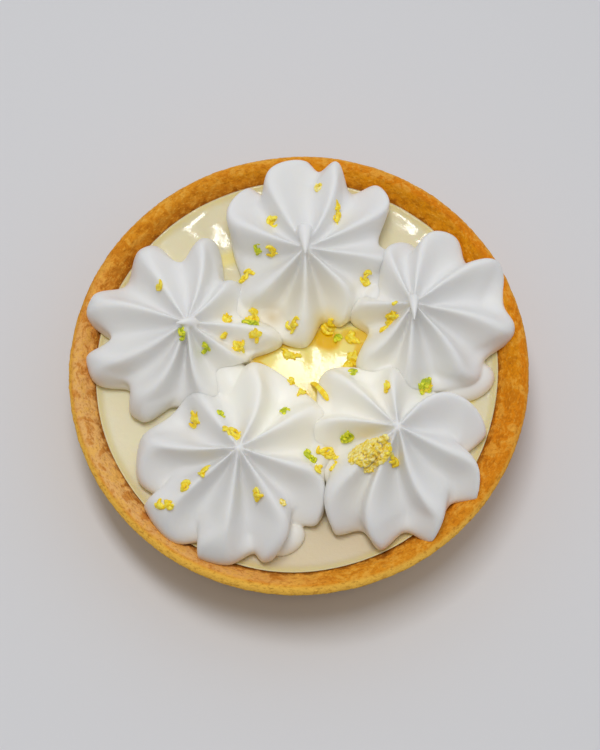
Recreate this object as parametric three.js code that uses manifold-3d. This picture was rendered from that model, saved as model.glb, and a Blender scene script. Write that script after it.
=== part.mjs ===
// Lemon meringue tartlet: a shortcrust shell with lemon curd, five star-piped meringues and grated zest.
// Millimetres and degrees, +Z up. The origin is the middle of the shell's underside.
// +Y points to meringue_1.

import * as THREE from 'three';
import { mergeVertices } from 'three/addons/utils/BufferGeometryUtils.js';
import Module from 'manifold-3d';

const wasm = await Module();
wasm.setup();

const { clamp, degToRad, lerp, smoothstep } = THREE.MathUtils;

// ---- Shell ----
const RIM_RADIUS = 45.4;
const SHELL_HEIGHT = 20;
const WALL_TAPER = 14;
const WALL_THICKNESS = 4.85;
const WALL_THINNING = 0.6;
const WALL_THICKENING = 0.85;
const THICK_AZIMUTH = -25;
const FLOOR_THICKNESS = 3.2;
const FLOOR_FILLET = 3;
const FOOT_ROUNDING = 0.8;
const RIM_ROUNDING = 1.8;
// The rim slopes down on its inner side: how thick the wall is at each depth below the rim's top.
const RIM_SLOPE = [[1.8, 0], [2.5, 0.35], [3.3, 1.2], [4.2, 2.4], [WALL_THICKNESS, 3.3]];
// A hand-pressed shell is a little longer along one azimuth and fuller towards -Y.
// Its rim rises and falls on its way round.
const OVAL = 0.4;
const OVAL_AZIMUTH = 75;
const FULLNESS = 0.3;
const RIM_UNEVENNESS = 0.3;
const RIM_WAVES = [
  { count: 2, start: 0.6, part: 0.5 },
  { count: 5, start: 2.1, part: 0.35 },
  { count: 11, start: 4, part: 0.25 },
];
const WALL_WAVE = 0.5;
const SHELL_SEGMENTS = 60;

// ---- Curd ----
const CURD_DEPTH_BELOW_RIM = 3.3;
const CURD_LEVEL = SHELL_HEIGHT - CURD_DEPTH_BELOW_RIM;

// ---- Air left between neighbouring pieces ----
const CLEARANCE = 0.3;
const MERINGUE_BASE = CURD_LEVEL + CLEARANCE;

// ---- Meringues ----
// Where a ridge's crest and the deepest line of the valley beside it lie, from the hem up to the tip.
// Each point is [part of the reach, part of the height].
const CREST = [
  [0.89, 0], [0.98, 0.06], [1, 0.16], [0.975, 0.32], [0.905, 0.48], [0.8, 0.6],
  [0.65, 0.69], [0.45, 0.775], [0.25, 0.87], [0.1, 0.955], [0.03, 1],
];
const VALLEY = [
  [0.75, 0], [0.795, 0.05], [0.8, 0.12], [0.765, 0.2], [0.7, 0.28], [0.6, 0.355],
  [0.475, 0.43], [0.325, 0.54], [0.18, 0.69], [0.08, 0.86], [0.025, 0.97],
];
// The stretches of the crest's height, from 0 at the hem to 1 at the tip, over which these fade in or out.
const FOOT = [0.22, 0.5];
const SHOULDER = [0.14, 0.68];
const CROWN = [0.5, 0.85];
// How blunt a ridge's crest is above the shoulder, and how narrow its valley.
const RIB_BLUNTNESS = 0.45;
const RIB_NOTCH = 1.05;
// A valley is as deep as VALLEY says where its two ridges are EVEN_SPAN degrees apart.
// It is shallower where they are closer, within these parts of that depth.
const EVEN_SPAN = 44;
const SPAN_DEPTHS = [0.55, 1.25];
const DEEPEST_VALLEY = 1.15;
const CROWN_EVENNESS = 0.55;
const STEPS_PER_RIDGE = 8;
const MERINGUE_LEVELS = 10;
// A peak starts at this part of the height and droops to its last tilt from upright.
const PEAK_START = 0.9;
const PEAK_LAST_TILT = 100;
const PEAK_BEND = 0.8;
const PEAK_TAPER = 0.75;
const PEAK_RINGS = 6;
const PEAK_SIDES = 8;

// Each meringue stands at its tip's [x, y], and azimuths and headings turn from +X towards +Y.
// The ones that it is pressedBy were piped after it: where they meet, they keep their form and it gives way.
const MERINGUES = [
  {
    name: 'meringue_1',
    tip: [1.2, 19.8],
    height: 14.6,
    peak: { length: 6.5, radius: 1.6, heading: -88, tilt: 45, back: 2.7 },
    pressedBy: ['meringue_2'],
    ridges: [
      ridge(0, 18, { hook: 12, lead: 2, blunt: 0.3, fill: -0.15, lean: 0.65, tuck: 0.25 }),
      ridge(34, 23.5, { hook: 18, lead: -2, blunt: 0.4, lean: 0.6, tuck: 0.43 }),
      ridge(74, 24.4, { hook: 1, lead: -9, fill: 0.45, notch: 1.6, lean: 0.35, tuck: 0.44 }),
      ridge(113, 24, { hook: -22, lead: 3, blunt: 0.9, fill: 0.2, notch: 1.5, lean: 0.38, tuck: 0.8 }),
      ridge(150, 21.3, { hook: -28, lead: 2, blunt: 0.3, fill: 0.1, notch: 1, lean: 0.33, tuck: 0.68 }),
      ridge(219, 14.9, { hook: -10, lead: 2, blunt: 0.6, fill: 0.9, lean: 0.4 }),
      ridge(268, 15.9, { lead: 2, blunt: 0.3, tuck: 0.57 }),
      ridge(320, 13.4, { hook: -17, lead: 3, blunt: 0.3, fill: 0.6, lean: 0.6 }),
    ],
    lumps: [lump(-10.6, 13, 0.5, 11, 7, 8.5, 112), lump(14.6, 13.6, 0.5, 10, 7, 8.5, 60)],
    zest: [
      shred(81, 16.5, 1.8, 60), shred(60, 12.2, 5, 85), shred(126, 10.5, 2.8, 150), shred(162, 8, 3.6, 10),
      shred(189, 11.5, 2.6, 35), shred(349, 12.3, 2.3, 20), shred(260, 12.6, 2.4, 60),
      shred(293, 11.5, 2.6, 100),
    ],
  },
  {
    name: 'meringue_2',
    tip: [21.9, 8.3],
    height: 14.6,
    peak: { length: 7, radius: 1.2, heading: -90, tilt: 15, back: 0 },
    pressedBy: ['meringue_5'],
    ridges: [
      ridge(-10, 20.4, { hook: 8, lead: 7, blunt: 0.6, fill: 0.56, lean: 0.62, tuck: 0.42 }),
      ridge(38, 22, { hook: -2, lead: 5, blunt: 0.15, lean: 0.45, tuck: 0.43 }),
      ridge(79, 20.9, { hook: -14, lead: 4, blunt: 0.5, fill: -0.1 }),
      ridge(109, 17.4, { hook: -17, lead: 1, blunt: 0.6, fill: -0.3, tuck: 0.3 }),
      ridge(168, 12.2, { hook: 2, blunt: 0.3, fill: -0.35, lean: 0.35, tuck: 0.39 }),
      ridge(224, 13.9, { hook: -2, lead: 8, blunt: 0.25, fill: 0.4 }),
      ridge(266, 14.2, { lead: -1, blunt: 0.25, fill: 0.6, lean: 0.6 }),
      ridge(308, 17.5, { hook: 10, lead: 8, blunt: 0.4, fill: 0.25, lean: 0.6, tuck: 0.45 }),
    ],
    lumps: [lump(32.6, -2.8, 0.8, 11.5, 7.8, 5.6, 20), lump(18, -2.4, 0.5, 14, 7, 8.5, -15)],
    zest: [
      shred(183, 4.5, 3, 70), shred(208, 6.8, 2.2, 60), shred(201, 11.5, 3.6, 50),
      shred(280, 11.5, 3, 20),
    ],
  },
  {
    name: 'meringue_3',
    tip: [-21.4, 4.6],
    height: 14.2,
    peak: { length: 4.5, radius: 1.2, heading: 195, tilt: 15, back: 0 },
    pressedBy: ['meringue_1'],
    ridges: [
      ridge(0, 18.2, { hook: 1, lead: 5, blunt: 0.35, fill: 0.24, tuck: 0.57 }),
      ridge(55, 15.6, { hook: -3, lead: -4, blunt: 0.25, fill: -0.3, tuck: 0.36 }),
      ridge(84, 22.3, { hook: -4, lead: -8, blunt: 0.5, fill: -0.7, notch: 2.4, lean: 0.38, tuck: 0.44 }),
      ridge(119, 22.1, { hook: -4, blunt: 0.6, fill: 0.05, lean: 0.45, tuck: 0.53 }),
      ridge(161, 21.6, { hook: -7, lead: -7, blunt: 0.5, fill: -0.55, notch: 4, lean: 0.38, tuck: 0.58 }),
      ridge(201, 20.4, { hook: -6, lead: 8, blunt: 0.5, fill: -0.45, notch: 3, lean: 0.4, tuck: 0.53 }),
      ridge(236, 18.3, { hook: 4, lead: 13, blunt: 0.4, fill: -0.1, lean: 0.55, tuck: 0.35 }),
      ridge(284, 14.5, { hook: 2, lead: -8, blunt: 0.3, fill: -0.6, tuck: 0.7 }),
      ridge(331, 12.6, { hook: 14, blunt: 0.3, fill: 0.8 }),
    ],
    lumps: [],
    zest: [
      shred(121, 10.8, 2.6, 95), shred(246, 3.2, 2, 95), shred(315, 5.5, 2, 80), shred(29, 8.4, 2.6, 120),
      shred(20, 12, 2.6, 30), shred(8, 11.5, 3, 160), shred(354, 7.3, 1.5, 45), shred(347, 10, 3, 10),
    ],
  },
  {
    name: 'meringue_4',
    tip: [-11.3, -20.7],
    height: 14.6,
    pressedBy: ['meringue_3', 'meringue_5'],
    ridges: [
      ridge(-11, 18.6, { hook: -25, lead: -1, blunt: 0.3, fill: 0.3 }),
      ridge(36, 19.6, { blunt: 0.3, fill: 0.85 }),
      ridge(82, 21.3, { lead: -14, blunt: 0.3, fill: 0.2 }),
      ridge(122, 17.6, { lead: 1, blunt: 0.3, fill: 0.6 }),
      ridge(170, 20, { hook: -4, lead: 6, blunt: 0.5, fill: 0.2, notch: 8, lean: 0.3, tuck: 0.92 }),
      ridge(218, 19.9, { hook: -13, lead: -2, blunt: 0.5, fill: 0.1, notch: 8, lean: 0.28, tuck: 0.93 }),
      ridge(260, 19.6, { hook: -12, lead: 2, blunt: 0.9, fill: 0.4, notch: 5, lean: 0.36, tuck: 0.8 }),
      ridge(304, 19.4, { hook: -17, lead: 2, blunt: 0.1, fill: -0.25, notch: 1.6, tuck: 0.6 }),
    ],
    lumps: [
      lump(-13.6, -3.6, 1, 9.5, 7.5, 9.5, 95), lump(-2.4, -34.6, 0.4, 8, 5.5, 4.4, 35),
      lump(4.2, -14.5, 0.5, 15, 7.5, 8.5, 93),
    ],
    zest: [
      shred(137, 11.9, 2.8, 60), shred(112, 9, 1.7, 110), shred(109, 4.2, 4, 15), shred(209, 7.3, 3, 75),
      shred(212, 11.8, 2.4, 25), shred(215, 15.8, 4.6, 170), shred(296, 8.5, 2, 100), shred(49, 13, 1.6, 60),
    ],
  },
  {
    name: 'meringue_5',
    tip: [18.6, -16.5],
    height: 14.6,
    pressedBy: [],
    ridges: [
      ridge(-19, 18.7, { hook: -16, lead: -2, fill: -0.4, notch: 1, lean: 0.55, tuck: 0.45 }),
      ridge(32, 17.8, { hook: -23, lead: 20, blunt: 0.14, fill: 0.3 }),
      ridge(93, 15.6, { lead: 2, blunt: 0.25, fill: 0.8 }),
      ridge(133, 20.2, { lead: -3, blunt: 0.4, fill: 0.6 }),
      ridge(168, 17, { hook: 2, lead: -6, blunt: 0.25, fill: 0.1, notch: 1, lean: 0.35, tuck: 0.6 }),
      ridge(222, 21, { hook: 14, fill: -0.1, lean: 0.6 }),
      ridge(250, 20.8, { hook: 11, lead: -6, blunt: 0.15, fill: 0.2, lean: 0.62 }),
      ridge(297, 20.2, { hook: -8, lead: -13, notch: 0.9, lean: 0.62, tuck: 0.6 }),
    ],
    lumps: [],
    zest: [
      shred(99, 10, 2.4, 80), shred(176, 9.6, 2.4, 30), shred(217, 6.7, 5, 20), shred(205, 8.5, 4, 70),
      shred(232, 6, 4, 110), shred(258, 5.5, 2.6, 30), shred(188, 12.5, 4, 5), shred(203, 13, 3, 60),
    ],
  },
];

// ---- Zest ----
// The shreds that lie on the open curd, as places on the tartlet.
const CURD_ZEST = [
  shred(50, 7.4, 4, 20), shred(335, 5.6, 4.4, 120), shred(122, 3.3, 4.6, 165), shred(230, 4.4, 3.6, 60),
];
const SHRED_WIDTH = 1.1;
const SHRED_HEIGHT = 0.9;
const SHRED_SUNK = 0.35;

// ---- Finishes ----
const PASTRY = new THREE.MeshStandardMaterial({ color: 0xc98a3c, roughness: 0.75, metalness: 0 });
const CURD = new THREE.MeshStandardMaterial({ color: 0xf0e2a0, roughness: 0.2, metalness: 0 });
const MERINGUE = new THREE.MeshStandardMaterial({ color: 0xf3f2ee, roughness: 0.5, metalness: 0 });

// A crest of a meringue. It leaves the tip at azimuth + lead and swings to azimuth at the shoulder.
// At the hem, `reach` away from the tip, it is at azimuth + hook.
// There `blunt` rounds it, from 0, a knife edge, upwards.
// The valley after it is deepest at `lean` of the way to the next ridge, and at `tuck` of the way in the hem.
// The spread foot fills the part `fill` of that valley, and its notch is narrow where `notch` is above 1.
function ridge(azimuth, reach, shape = {}) {
  const plain = { hook: 0, lead: 0, blunt: 0.12, fill: 0, notch: 1.3, lean: 0.5, tuck: 0.5 };
  return { azimuth, reach, ...plain, ...shape };
}

// A soft lump beside a meringue, at a height above the curd, where the nozzle started or the foot ran over.
function lump(x, y, rise, length, width, height, heading = 0) {
  return { x, y, rise, length, width, height, heading };
}

// A shred of zest, at an azimuth and a distance from the middle of what carries it.
function shred(azimuth, distance, length, heading) {
  return { azimuth, distance, length, heading };
}

// A closed solid of rings. surface(level, turn) gives each point, with turn from 0 to 1 round a ring.
// Level 0 and the last level each close to one point.
// The lathe gives the faces, and its points are then placed.
function ringedSolid(levels, segments, surface) {
  const spindle = Array.from({ length: levels + 1 }, (_, level) => new THREE.Vector2(1, level));
  const geometry = new THREE.LatheGeometry(spindle, segments);
  geometry.deleteAttribute('normal');
  geometry.deleteAttribute('uv');
  const position = geometry.attributes.position;
  for (let step = 0; step <= segments; step += 1) {
    for (let level = 0; level <= levels; level += 1) {
      const point = surface(level, (step % segments) / segments);
      position.setXYZ(step * (levels + 1) + level, point.x, point.y, point.z);
    }
  }
  return mergeVertices(geometry);
}

// The manifold solid of a closed geometry, without the flat triangles at a lathe's poles.
function toSolid(geometry) {
  const index = geometry.index.array;
  const corners = [];
  for (let i = 0; i < index.length; i += 3) {
    const [a, b, c] = index.slice(i, i + 3);
    if (a !== b && b !== c && c !== a) corners.push(a, b, c);
  }
  const vertProperties = new Float32Array(geometry.attributes.position.array);
  const triVerts = new Uint32Array(corners);
  return new wasm.Manifold(new wasm.Mesh({ numProp: 3, vertProperties, triVerts }));
}

function toGeometry(solid) {
  const { vertProperties, triVerts } = solid.getMesh();
  const geometry = new THREE.BufferGeometry();
  geometry.setAttribute('position', new THREE.BufferAttribute(vertProperties, 3));
  geometry.setIndex(new THREE.BufferAttribute(triVerts, 1));
  return geometry;
}

function nodeMesh(name, geometry, material) {
  const shaded = geometry.toNonIndexed();
  shaded.computeVertexNormals();
  const mesh = new THREE.Mesh(shaded, material);
  mesh.name = name;
  return mesh;
}

function polar(radius, angle, z) {
  return new THREE.Vector3(radius * Math.cos(angle), radius * Math.sin(angle), z);
}

// ---- Shell and curd ----

function rimWave(angle) {
  const waves = RIM_WAVES.map(({ count, start, part }) => part * Math.sin(count * angle + start));
  return RIM_UNEVENNESS * waves.reduce((sum, wave) => sum + wave);
}

// How much thinner the wall is than WALL_THICKNESS: most towards -Y, and least towards THICK_AZIMUTH.
function wallLoss(angle) {
  const towardsFront = (1 - Math.sin(angle)) / 2;
  const towardsThick = (1 + Math.cos(angle - degToRad(THICK_AZIMUTH))) / 2;
  const change = WALL_THINNING * towardsFront ** 4 - WALL_THICKENING * towardsThick ** 4;
  return change - WALL_WAVE * rimWave(angle);
}

function outerRadius(z, angle) {
  const stretch = OVAL * Math.cos(2 * (angle - degToRad(OVAL_AZIMUTH))) - FULLNESS * Math.sin(angle);
  return RIM_RADIUS + stretch - (SHELL_HEIGHT - z) * Math.tan(degToRad(WALL_TAPER));
}

function innerRadius(z, angle) {
  return outerRadius(z, angle) - WALL_THICKNESS + wallLoss(angle);
}

// The shell's section from the middle of the underside, up the outside, over the rim and down to the floor.
function shellSection(angle, margin) {
  const top = SHELL_HEIGHT - RIM_UNEVENNESS + rimWave(angle);
  const outer = (z) => outerRadius(z, angle) + margin;
  const inner = (z) => innerRadius(z, angle) - margin;
  const edge = RIM_ROUNDING;
  const eased = edge * (1 - Math.SQRT1_2);
  const floor = FLOOR_THICKNESS + margin;
  const slope = RIM_SLOPE.map(([thickness, depth]) => {
    const loss = wallLoss(angle) * (thickness / WALL_THICKNESS);
    return [outerRadius(top - depth, angle) - thickness + loss - margin, top - depth + margin];
  });
  return [
    [0, -margin],
    [outer(0) - FOOT_ROUNDING, -margin],
    [outer(FOOT_ROUNDING), FOOT_ROUNDING],
    [outer(top - edge), top - edge + margin],
    [outer(top) - eased, top - eased + margin],
    ...slope,
    [inner(floor + FLOOR_FILLET), floor + FLOOR_FILLET],
    [inner(floor) - FLOOR_FILLET, floor],
    [0, floor],
  ];
}

function revolved(section) {
  const levels = section(0).length - 1;
  return ringedSolid(levels, SHELL_SEGMENTS, (level, turn) => {
    const angle = 2 * Math.PI * turn;
    const [radius, z] = section(angle)[level];
    return polar(radius, angle, z);
  });
}

// The curd fills the shell from the floor up to its level.
function curdSection(angle) {
  const wall = (z) => innerRadius(z, angle) - CLEARANCE;
  const bottom = FLOOR_THICKNESS + CLEARANCE;
  return [
    [0, bottom],
    [wall(bottom) - FLOOR_FILLET, bottom],
    [wall(bottom + FLOOR_FILLET), bottom + FLOOR_FILLET],
    [wall(CURD_LEVEL), CURD_LEVEL],
    [0, CURD_LEVEL],
  ];
}

// ---- Meringues ----

const crestCurve = new THREE.SplineCurve(CREST.map(([r, z]) => new THREE.Vector2(r, z)));
const valleyCurve = new THREE.SplineCurve(VALLEY.map(([r, z]) => new THREE.Vector2(r, z)));

// 0 on a crest and 1 in the deepest line of the valley, which is halfway along `way` from crest to crest.
function valleyWave(way, blunt, notch) {
  const away = Math.sin(Math.PI * Math.min(way, 1 - way));
  return ((Math.hypot(away, blunt) - blunt) / (Math.hypot(1, blunt) - blunt)) ** notch;
}

// Moves the middle of the way from one crest to the next to the part `lean` of it.
function leaning(way, lean) {
  const halves = 2 * way;
  return way < 0.5 ? halves * lean : lerp(lean, 1, halves - 1);
}

// The point of a piped star at `rise`, from 0 at the hem to 1 at the tip, and at `turn` round it.
function meringuePoint({ tip, height, ridges }, rise, turn, margin) {
  const crest = crestCurve.getPoint(rise);
  const valley = valleyCurve.getPoint(rise);
  const foot = 1 - smoothstep(crest.y, ...FOOT);
  const belowShoulder = 1 - smoothstep(crest.y, ...SHOULDER);
  const crown = smoothstep(crest.y, ...CROWN);
  const meanReach = ridges.reduce((sum, { reach }) => sum + reach, 0) / ridges.length;

  const place = turn * ridges.length;
  const from = ridges[Math.floor(place)];
  const to = ridges[(Math.floor(place) + 1) % ridges.length];
  const way = place % 1;
  const part = leaning(way, lerp(from.lean, from.tuck, belowShoulder));
  const blend = smoothstep(part, 0, 1);
  const fullTurn = to.azimuth < from.azimuth ? 360 : 0;
  const crestAzimuth = ({ azimuth, hook, lead }) => azimuth + hook * belowShoulder + lead * crown;
  const azimuth = lerp(crestAzimuth(from), crestAzimuth(to) + fullTurn, part);
  const evenness = CROWN_EVENNESS * smoothstep(crest.y, CROWN[0], 1);
  const reach = lerp(lerp(from.reach, to.reach, blend), meanReach, evenness);

  const span = clamp((to.azimuth + fullTurn - from.azimuth) / EVEN_SPAN, ...SPAN_DEPTHS);
  const blunt = lerp(RIB_BLUNTNESS, lerp(from.blunt, to.blunt, blend), belowShoulder);
  const notch = lerp(RIB_NOTCH, from.notch, belowShoulder);
  const depth = valleyWave(way, blunt, notch) * span * (1 - from.fill * foot);
  const radius = reach * lerp(crest.x, valley.x, depth) + margin;
  const z = height * lerp(crest.y, valley.y, Math.min(depth, DEEPEST_VALLEY)) + margin;
  return polar(radius, degToRad(azimuth), MERINGUE_BASE + z).add(new THREE.Vector3(...tip, 0));
}

function starSolid(meringue, margin) {
  const segments = meringue.ridges.length * STEPS_PER_RIDGE;
  const hem = MERINGUE_BASE - margin;
  const top = MERINGUE_BASE + meringue.height + margin;
  const geometry = ringedSolid(MERINGUE_LEVELS + 2, segments, (level, turn) => {
    if (level === 0) return new THREE.Vector3(...meringue.tip, hem);
    if (level > MERINGUE_LEVELS + 1) return new THREE.Vector3(...meringue.tip, top);
    const point = meringuePoint(meringue, (level - 1) / MERINGUE_LEVELS, turn, margin);
    return level === 1 ? point.setZ(hem) : point;
  });
  return meringue.lumps.reduce((solid, piece) => solid.add(lumpSolid(piece, margin)), toSolid(geometry));
}

// A lump is an egg-shaped solid, cut flat where it rests above the curd.
function lumpSolid({ x, y, rise, length, width, height, heading }, margin) {
  const geometry = mergedPoints(new THREE.IcosahedronGeometry(1, 1));
  geometry.scale(length / 2 + margin, width / 2 + margin, height / 2 + margin);
  geometry.rotateZ(degToRad(heading));
  geometry.translate(x, y, MERINGUE_BASE + rise);
  return toSolid(geometry).trimByPlane([0, 0, 1], MERINGUE_BASE - margin);
}

// The peak that the nozzle pulled up as it left. It starts `back` behind the tip, at `tilt` from upright.
function peakSolid({ tip, height, peak }) {
  const up = new THREE.Vector3(0, 0, 1);
  const heading = polar(1, degToRad(peak.heading), 0);
  const side = new THREE.Vector3().crossVectors(up, heading);
  const root = new THREE.Vector3(...tip, MERINGUE_BASE + PEAK_START * height);
  root.addScaledVector(heading, -peak.radius - peak.back);
  const middles = [root];
  const acrosses = [heading];
  const radii = [peak.radius];
  for (let ring = 1; ring <= PEAK_RINGS; ring += 1) {
    const part = ring / PEAK_RINGS;
    const tilt = degToRad(lerp(peak.tilt, PEAK_LAST_TILT, part ** PEAK_BEND));
    const along = up.clone().multiplyScalar(Math.cos(tilt)).addScaledVector(heading, Math.sin(tilt));
    middles.push(middles[ring - 1].clone().addScaledVector(along, peak.length / PEAK_RINGS));
    acrosses.push(new THREE.Vector3().crossVectors(side, along));
    radii.push(peak.radius * (1 - part) ** PEAK_TAPER);
  }
  const geometry = ringedSolid(PEAK_RINGS + 1, PEAK_SIDES, (level, turn) => {
    if (level === 0) return root;
    const angle = 2 * Math.PI * turn;
    const across = acrosses[level - 1].clone().multiplyScalar(radii[level - 1] * Math.cos(angle));
    return across.add(middles[level - 1]).addScaledVector(side, radii[level - 1] * Math.sin(angle));
  });
  return toSolid(geometry);
}

// ---- Zest ----

// Sets each shred on the surface straight below its place.
// A shred whose two ends don't both lie on that surface is left out, so none reaches over an edge.
function zestSolids(shreds, [x, y], carrier) {
  const caster = new THREE.Raycaster();
  const heightAt = (px, py) => {
    caster.set(new THREE.Vector3(px, py, SHELL_HEIGHT * 3), new THREE.Vector3(0, 0, -1));
    return caster.intersectObject(carrier)[0]?.point.z;
  };
  return shreds.flatMap(({ azimuth, distance, length, heading }) => {
    const place = polar(distance, degToRad(azimuth), 0).add(new THREE.Vector3(x, y, 0));
    const half = polar(length / 2, degToRad(heading), 0);
    const behind = heightAt(place.x - half.x, place.y - half.y);
    const ahead = heightAt(place.x + half.x, place.y + half.y);
    const middle = heightAt(place.x, place.y);
    if ([behind, ahead, middle].includes(undefined)) return [];
    const geometry = mergedPoints(new THREE.IcosahedronGeometry(0.5, 0));
    geometry.scale(Math.hypot(length, ahead - behind), SHRED_WIDTH, SHRED_HEIGHT);
    geometry.rotateY(-Math.atan2(ahead - behind, length));
    geometry.rotateZ(degToRad(heading));
    geometry.translate(place.x, place.y, middle + SHRED_HEIGHT * (0.5 - SHRED_SUNK));
    return [toSolid(geometry)];
  });
}

function mergedPoints(geometry) {
  geometry.deleteAttribute('normal');
  geometry.deleteAttribute('uv');
  return mergeVertices(geometry);
}

// Fuses the shreds to the solid that carries them, each cut back where it would run under another piece.
function withZest(solid, shreds, place, others) {
  const carrier = new THREE.Mesh(toGeometry(solid), MERINGUE);
  const cutBack = (piece) => others.reduce((rest, other) => rest.subtract(other), piece);
  return zestSolids(shreds, place, carrier).reduce((whole, piece) => whole.add(cutBack(piece)), solid);
}

// ---- Assembly ----

const tartlet = new THREE.Group();

const shellSolid = toSolid(revolved((angle) => shellSection(angle, 0)));
const shellRoom = toSolid(revolved((angle) => shellSection(angle, CLEARANCE)));
tartlet.add(nodeMesh('pastry_shell', toGeometry(shellSolid), PASTRY));

const roomFor = new Map(MERINGUES.map((meringue) => [meringue.name, starSolid(meringue, CLEARANCE)]));
const curdSolid = withZest(toSolid(revolved(curdSection)), CURD_ZEST, [0, 0], [...roomFor.values()]);
tartlet.add(nodeMesh('lemon_curd', toGeometry(curdSolid), CURD));

for (const meringue of MERINGUES) {
  const star = starSolid(meringue, 0);
  const peaked = meringue.peak ? star.add(peakSolid(meringue)) : star;
  const pressing = [shellRoom, ...meringue.pressedBy.map((name) => roomFor.get(name))];
  const fitted = pressing.reduce((solid, other) => solid.subtract(other), peaked);
  const others = MERINGUES.filter(({ name }) => name !== meringue.name).map(({ name }) => roomFor.get(name));
  const finished = withZest(fitted, meringue.zest, meringue.tip, others);
  tartlet.add(nodeMesh(meringue.name, toGeometry(finished), MERINGUE));
}

export default tartlet;
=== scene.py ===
"""A lemon meringue tartlet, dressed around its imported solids.

A baked shortcrust shell holds lemon curd. Five meringues, piped with an open star nozzle, stand on the curd in a ring,
and grated lemon and lime zest lies over them. Shapes are worked out in millimetres and degrees, and a mesh turns into
metres when it is finished. +Z is up, and +Y points to the meringue at the far side.
"""

from __future__ import annotations

import logging
import math
import random
from dataclasses import dataclass, field
from enum import Enum
from typing import Callable, Sequence

import bmesh
import bpy
from mathutils import Matrix, Vector, noise
from mathutils.bvhtree import BVHTree

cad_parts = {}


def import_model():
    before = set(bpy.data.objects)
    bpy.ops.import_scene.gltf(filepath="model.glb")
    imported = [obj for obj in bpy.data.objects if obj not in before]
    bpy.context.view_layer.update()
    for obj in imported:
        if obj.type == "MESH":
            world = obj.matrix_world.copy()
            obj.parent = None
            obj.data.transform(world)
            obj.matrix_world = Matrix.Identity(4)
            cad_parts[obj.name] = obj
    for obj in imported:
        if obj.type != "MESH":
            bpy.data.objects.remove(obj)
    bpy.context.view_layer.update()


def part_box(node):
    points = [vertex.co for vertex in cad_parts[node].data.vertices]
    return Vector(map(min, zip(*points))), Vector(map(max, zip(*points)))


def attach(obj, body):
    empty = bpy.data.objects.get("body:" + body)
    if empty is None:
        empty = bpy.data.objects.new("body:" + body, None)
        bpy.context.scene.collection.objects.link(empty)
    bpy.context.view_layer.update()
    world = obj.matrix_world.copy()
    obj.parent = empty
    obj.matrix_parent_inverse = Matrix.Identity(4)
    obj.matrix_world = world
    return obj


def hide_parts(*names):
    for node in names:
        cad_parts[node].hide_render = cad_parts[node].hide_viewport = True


log = logging.getLogger("tartlet")

MM = 0.001
UP = Vector((0, 0, 1))
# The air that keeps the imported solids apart, a length that counts as nothing, and how close points are joined, in
# millimetres.
AIR = 0.3
HAIR = 1e-3
JOINED = 1e-5
# The part of a form's turn or rise that counts as nothing.
SLIVER = 1e-6
# The angle from which the edge of a cut stays sharp, in degrees.
CUT_ANGLE = 50
# The height from which zest falls, in millimetres.
DROP_HEIGHT = 60

Colour = tuple[float, float, float]
# A pair of numbers: a place seen from above, or the two ends of a range.
Place = tuple[float, float]
Surface = Callable[[float, float], Vector]


# ---------------------------------------------------------------- numbers and curves


def smooth(value: float, low: float = 0.0, high: float = 1.0) -> float:
    """Goes softly from 0 at low to 1 at high."""
    part = min(max((value - low) / (high - low), 0.0), 1.0)
    return part * part * (3 - 2 * part)


def mix(first: float, second: float, part: float) -> float:
    """The number that lies `part` of the way from the first to the second."""
    return first + (second - first) * part


def polar(radius: float, azimuth: float, z: float = 0.0) -> Vector:
    """The point at a radius and an azimuth in degrees, turned from +X towards +Y."""
    angle = math.radians(azimuth)
    return Vector((radius * math.cos(angle), radius * math.sin(angle), z))


def layered(place: Vector, layers: Sequence[Place]) -> float:
    """Noise at a place, summed over layers that each have a strength and a size."""
    return sum(strength * noise.noise(place / size) for strength, size in layers)


def along(points: Sequence[Place], part: float) -> Place:
    """A point on the smooth curve through some points.

    Args:
        points: The points that the curve passes, evenly timed.
        part: How far along the curve, from 0 to 1.

    Returns:
        The place on the curve, by Catmull and Rom's rule.
    """
    last = len(points) - 1
    place = min(max(part, 0.0), 1.0) * last
    start = min(int(place), last - 1)
    t = place - start
    a, b, c, d = (Vector(points[min(max(start + step, 0), last)]) for step in (-1, 0, 1, 2))
    point = b * 2 + (c - a) * t + (a * 2 - b * 5 + c * 4 - d) * t**2 + (b * 3 - a - c * 3 + d) * t**3
    return point.x / 2, point.y / 2


# ---------------------------------------------------------------- meshes


def wrapped(columns: int, rows: int, surface: Surface) -> bmesh.types.BMesh:
    """A grid wrapped round into a closed form.

    Args:
        columns: The number of faces round the form.
        rows: The number of faces from its first pole to its last.
        surface: Gives the point at a turn and a rise, each from 0 to 1, with one point for each pole.

    Returns:
        The closed bmesh, in millimetres.
    """
    form = bmesh.new()
    bmesh.ops.create_grid(form, x_segments=columns, y_segments=rows, size=0.5)
    for vert in form.verts:
        turn, rise = vert.co.x + 0.5, vert.co.y + 0.5
        vert.co = surface(turn if turn < 1 - SLIVER else 0.0, rise)
    bmesh.ops.remove_doubles(form, verts=form.verts, dist=JOINED)
    bmesh.ops.recalc_face_normals(form, faces=form.faces)
    return form


def turned(profile: Sequence[Place], steps: int) -> bmesh.types.BMesh:
    """A profile turned round the upright axis.

    Args:
        profile: Radius and height of its points, from the axis and back to the axis.
        steps: The number of faces round the form.

    Returns:
        The closed bmesh, in millimetres.
    """
    rows = len(profile) - 1

    def surface(turn: float, rise: float) -> Vector:
        """The profile's point at a rise, turned round the axis."""
        radius, z = profile[round(rise * rows)]
        return polar(radius, 360 * turn, z)

    return wrapped(steps, rows, surface)


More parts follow.
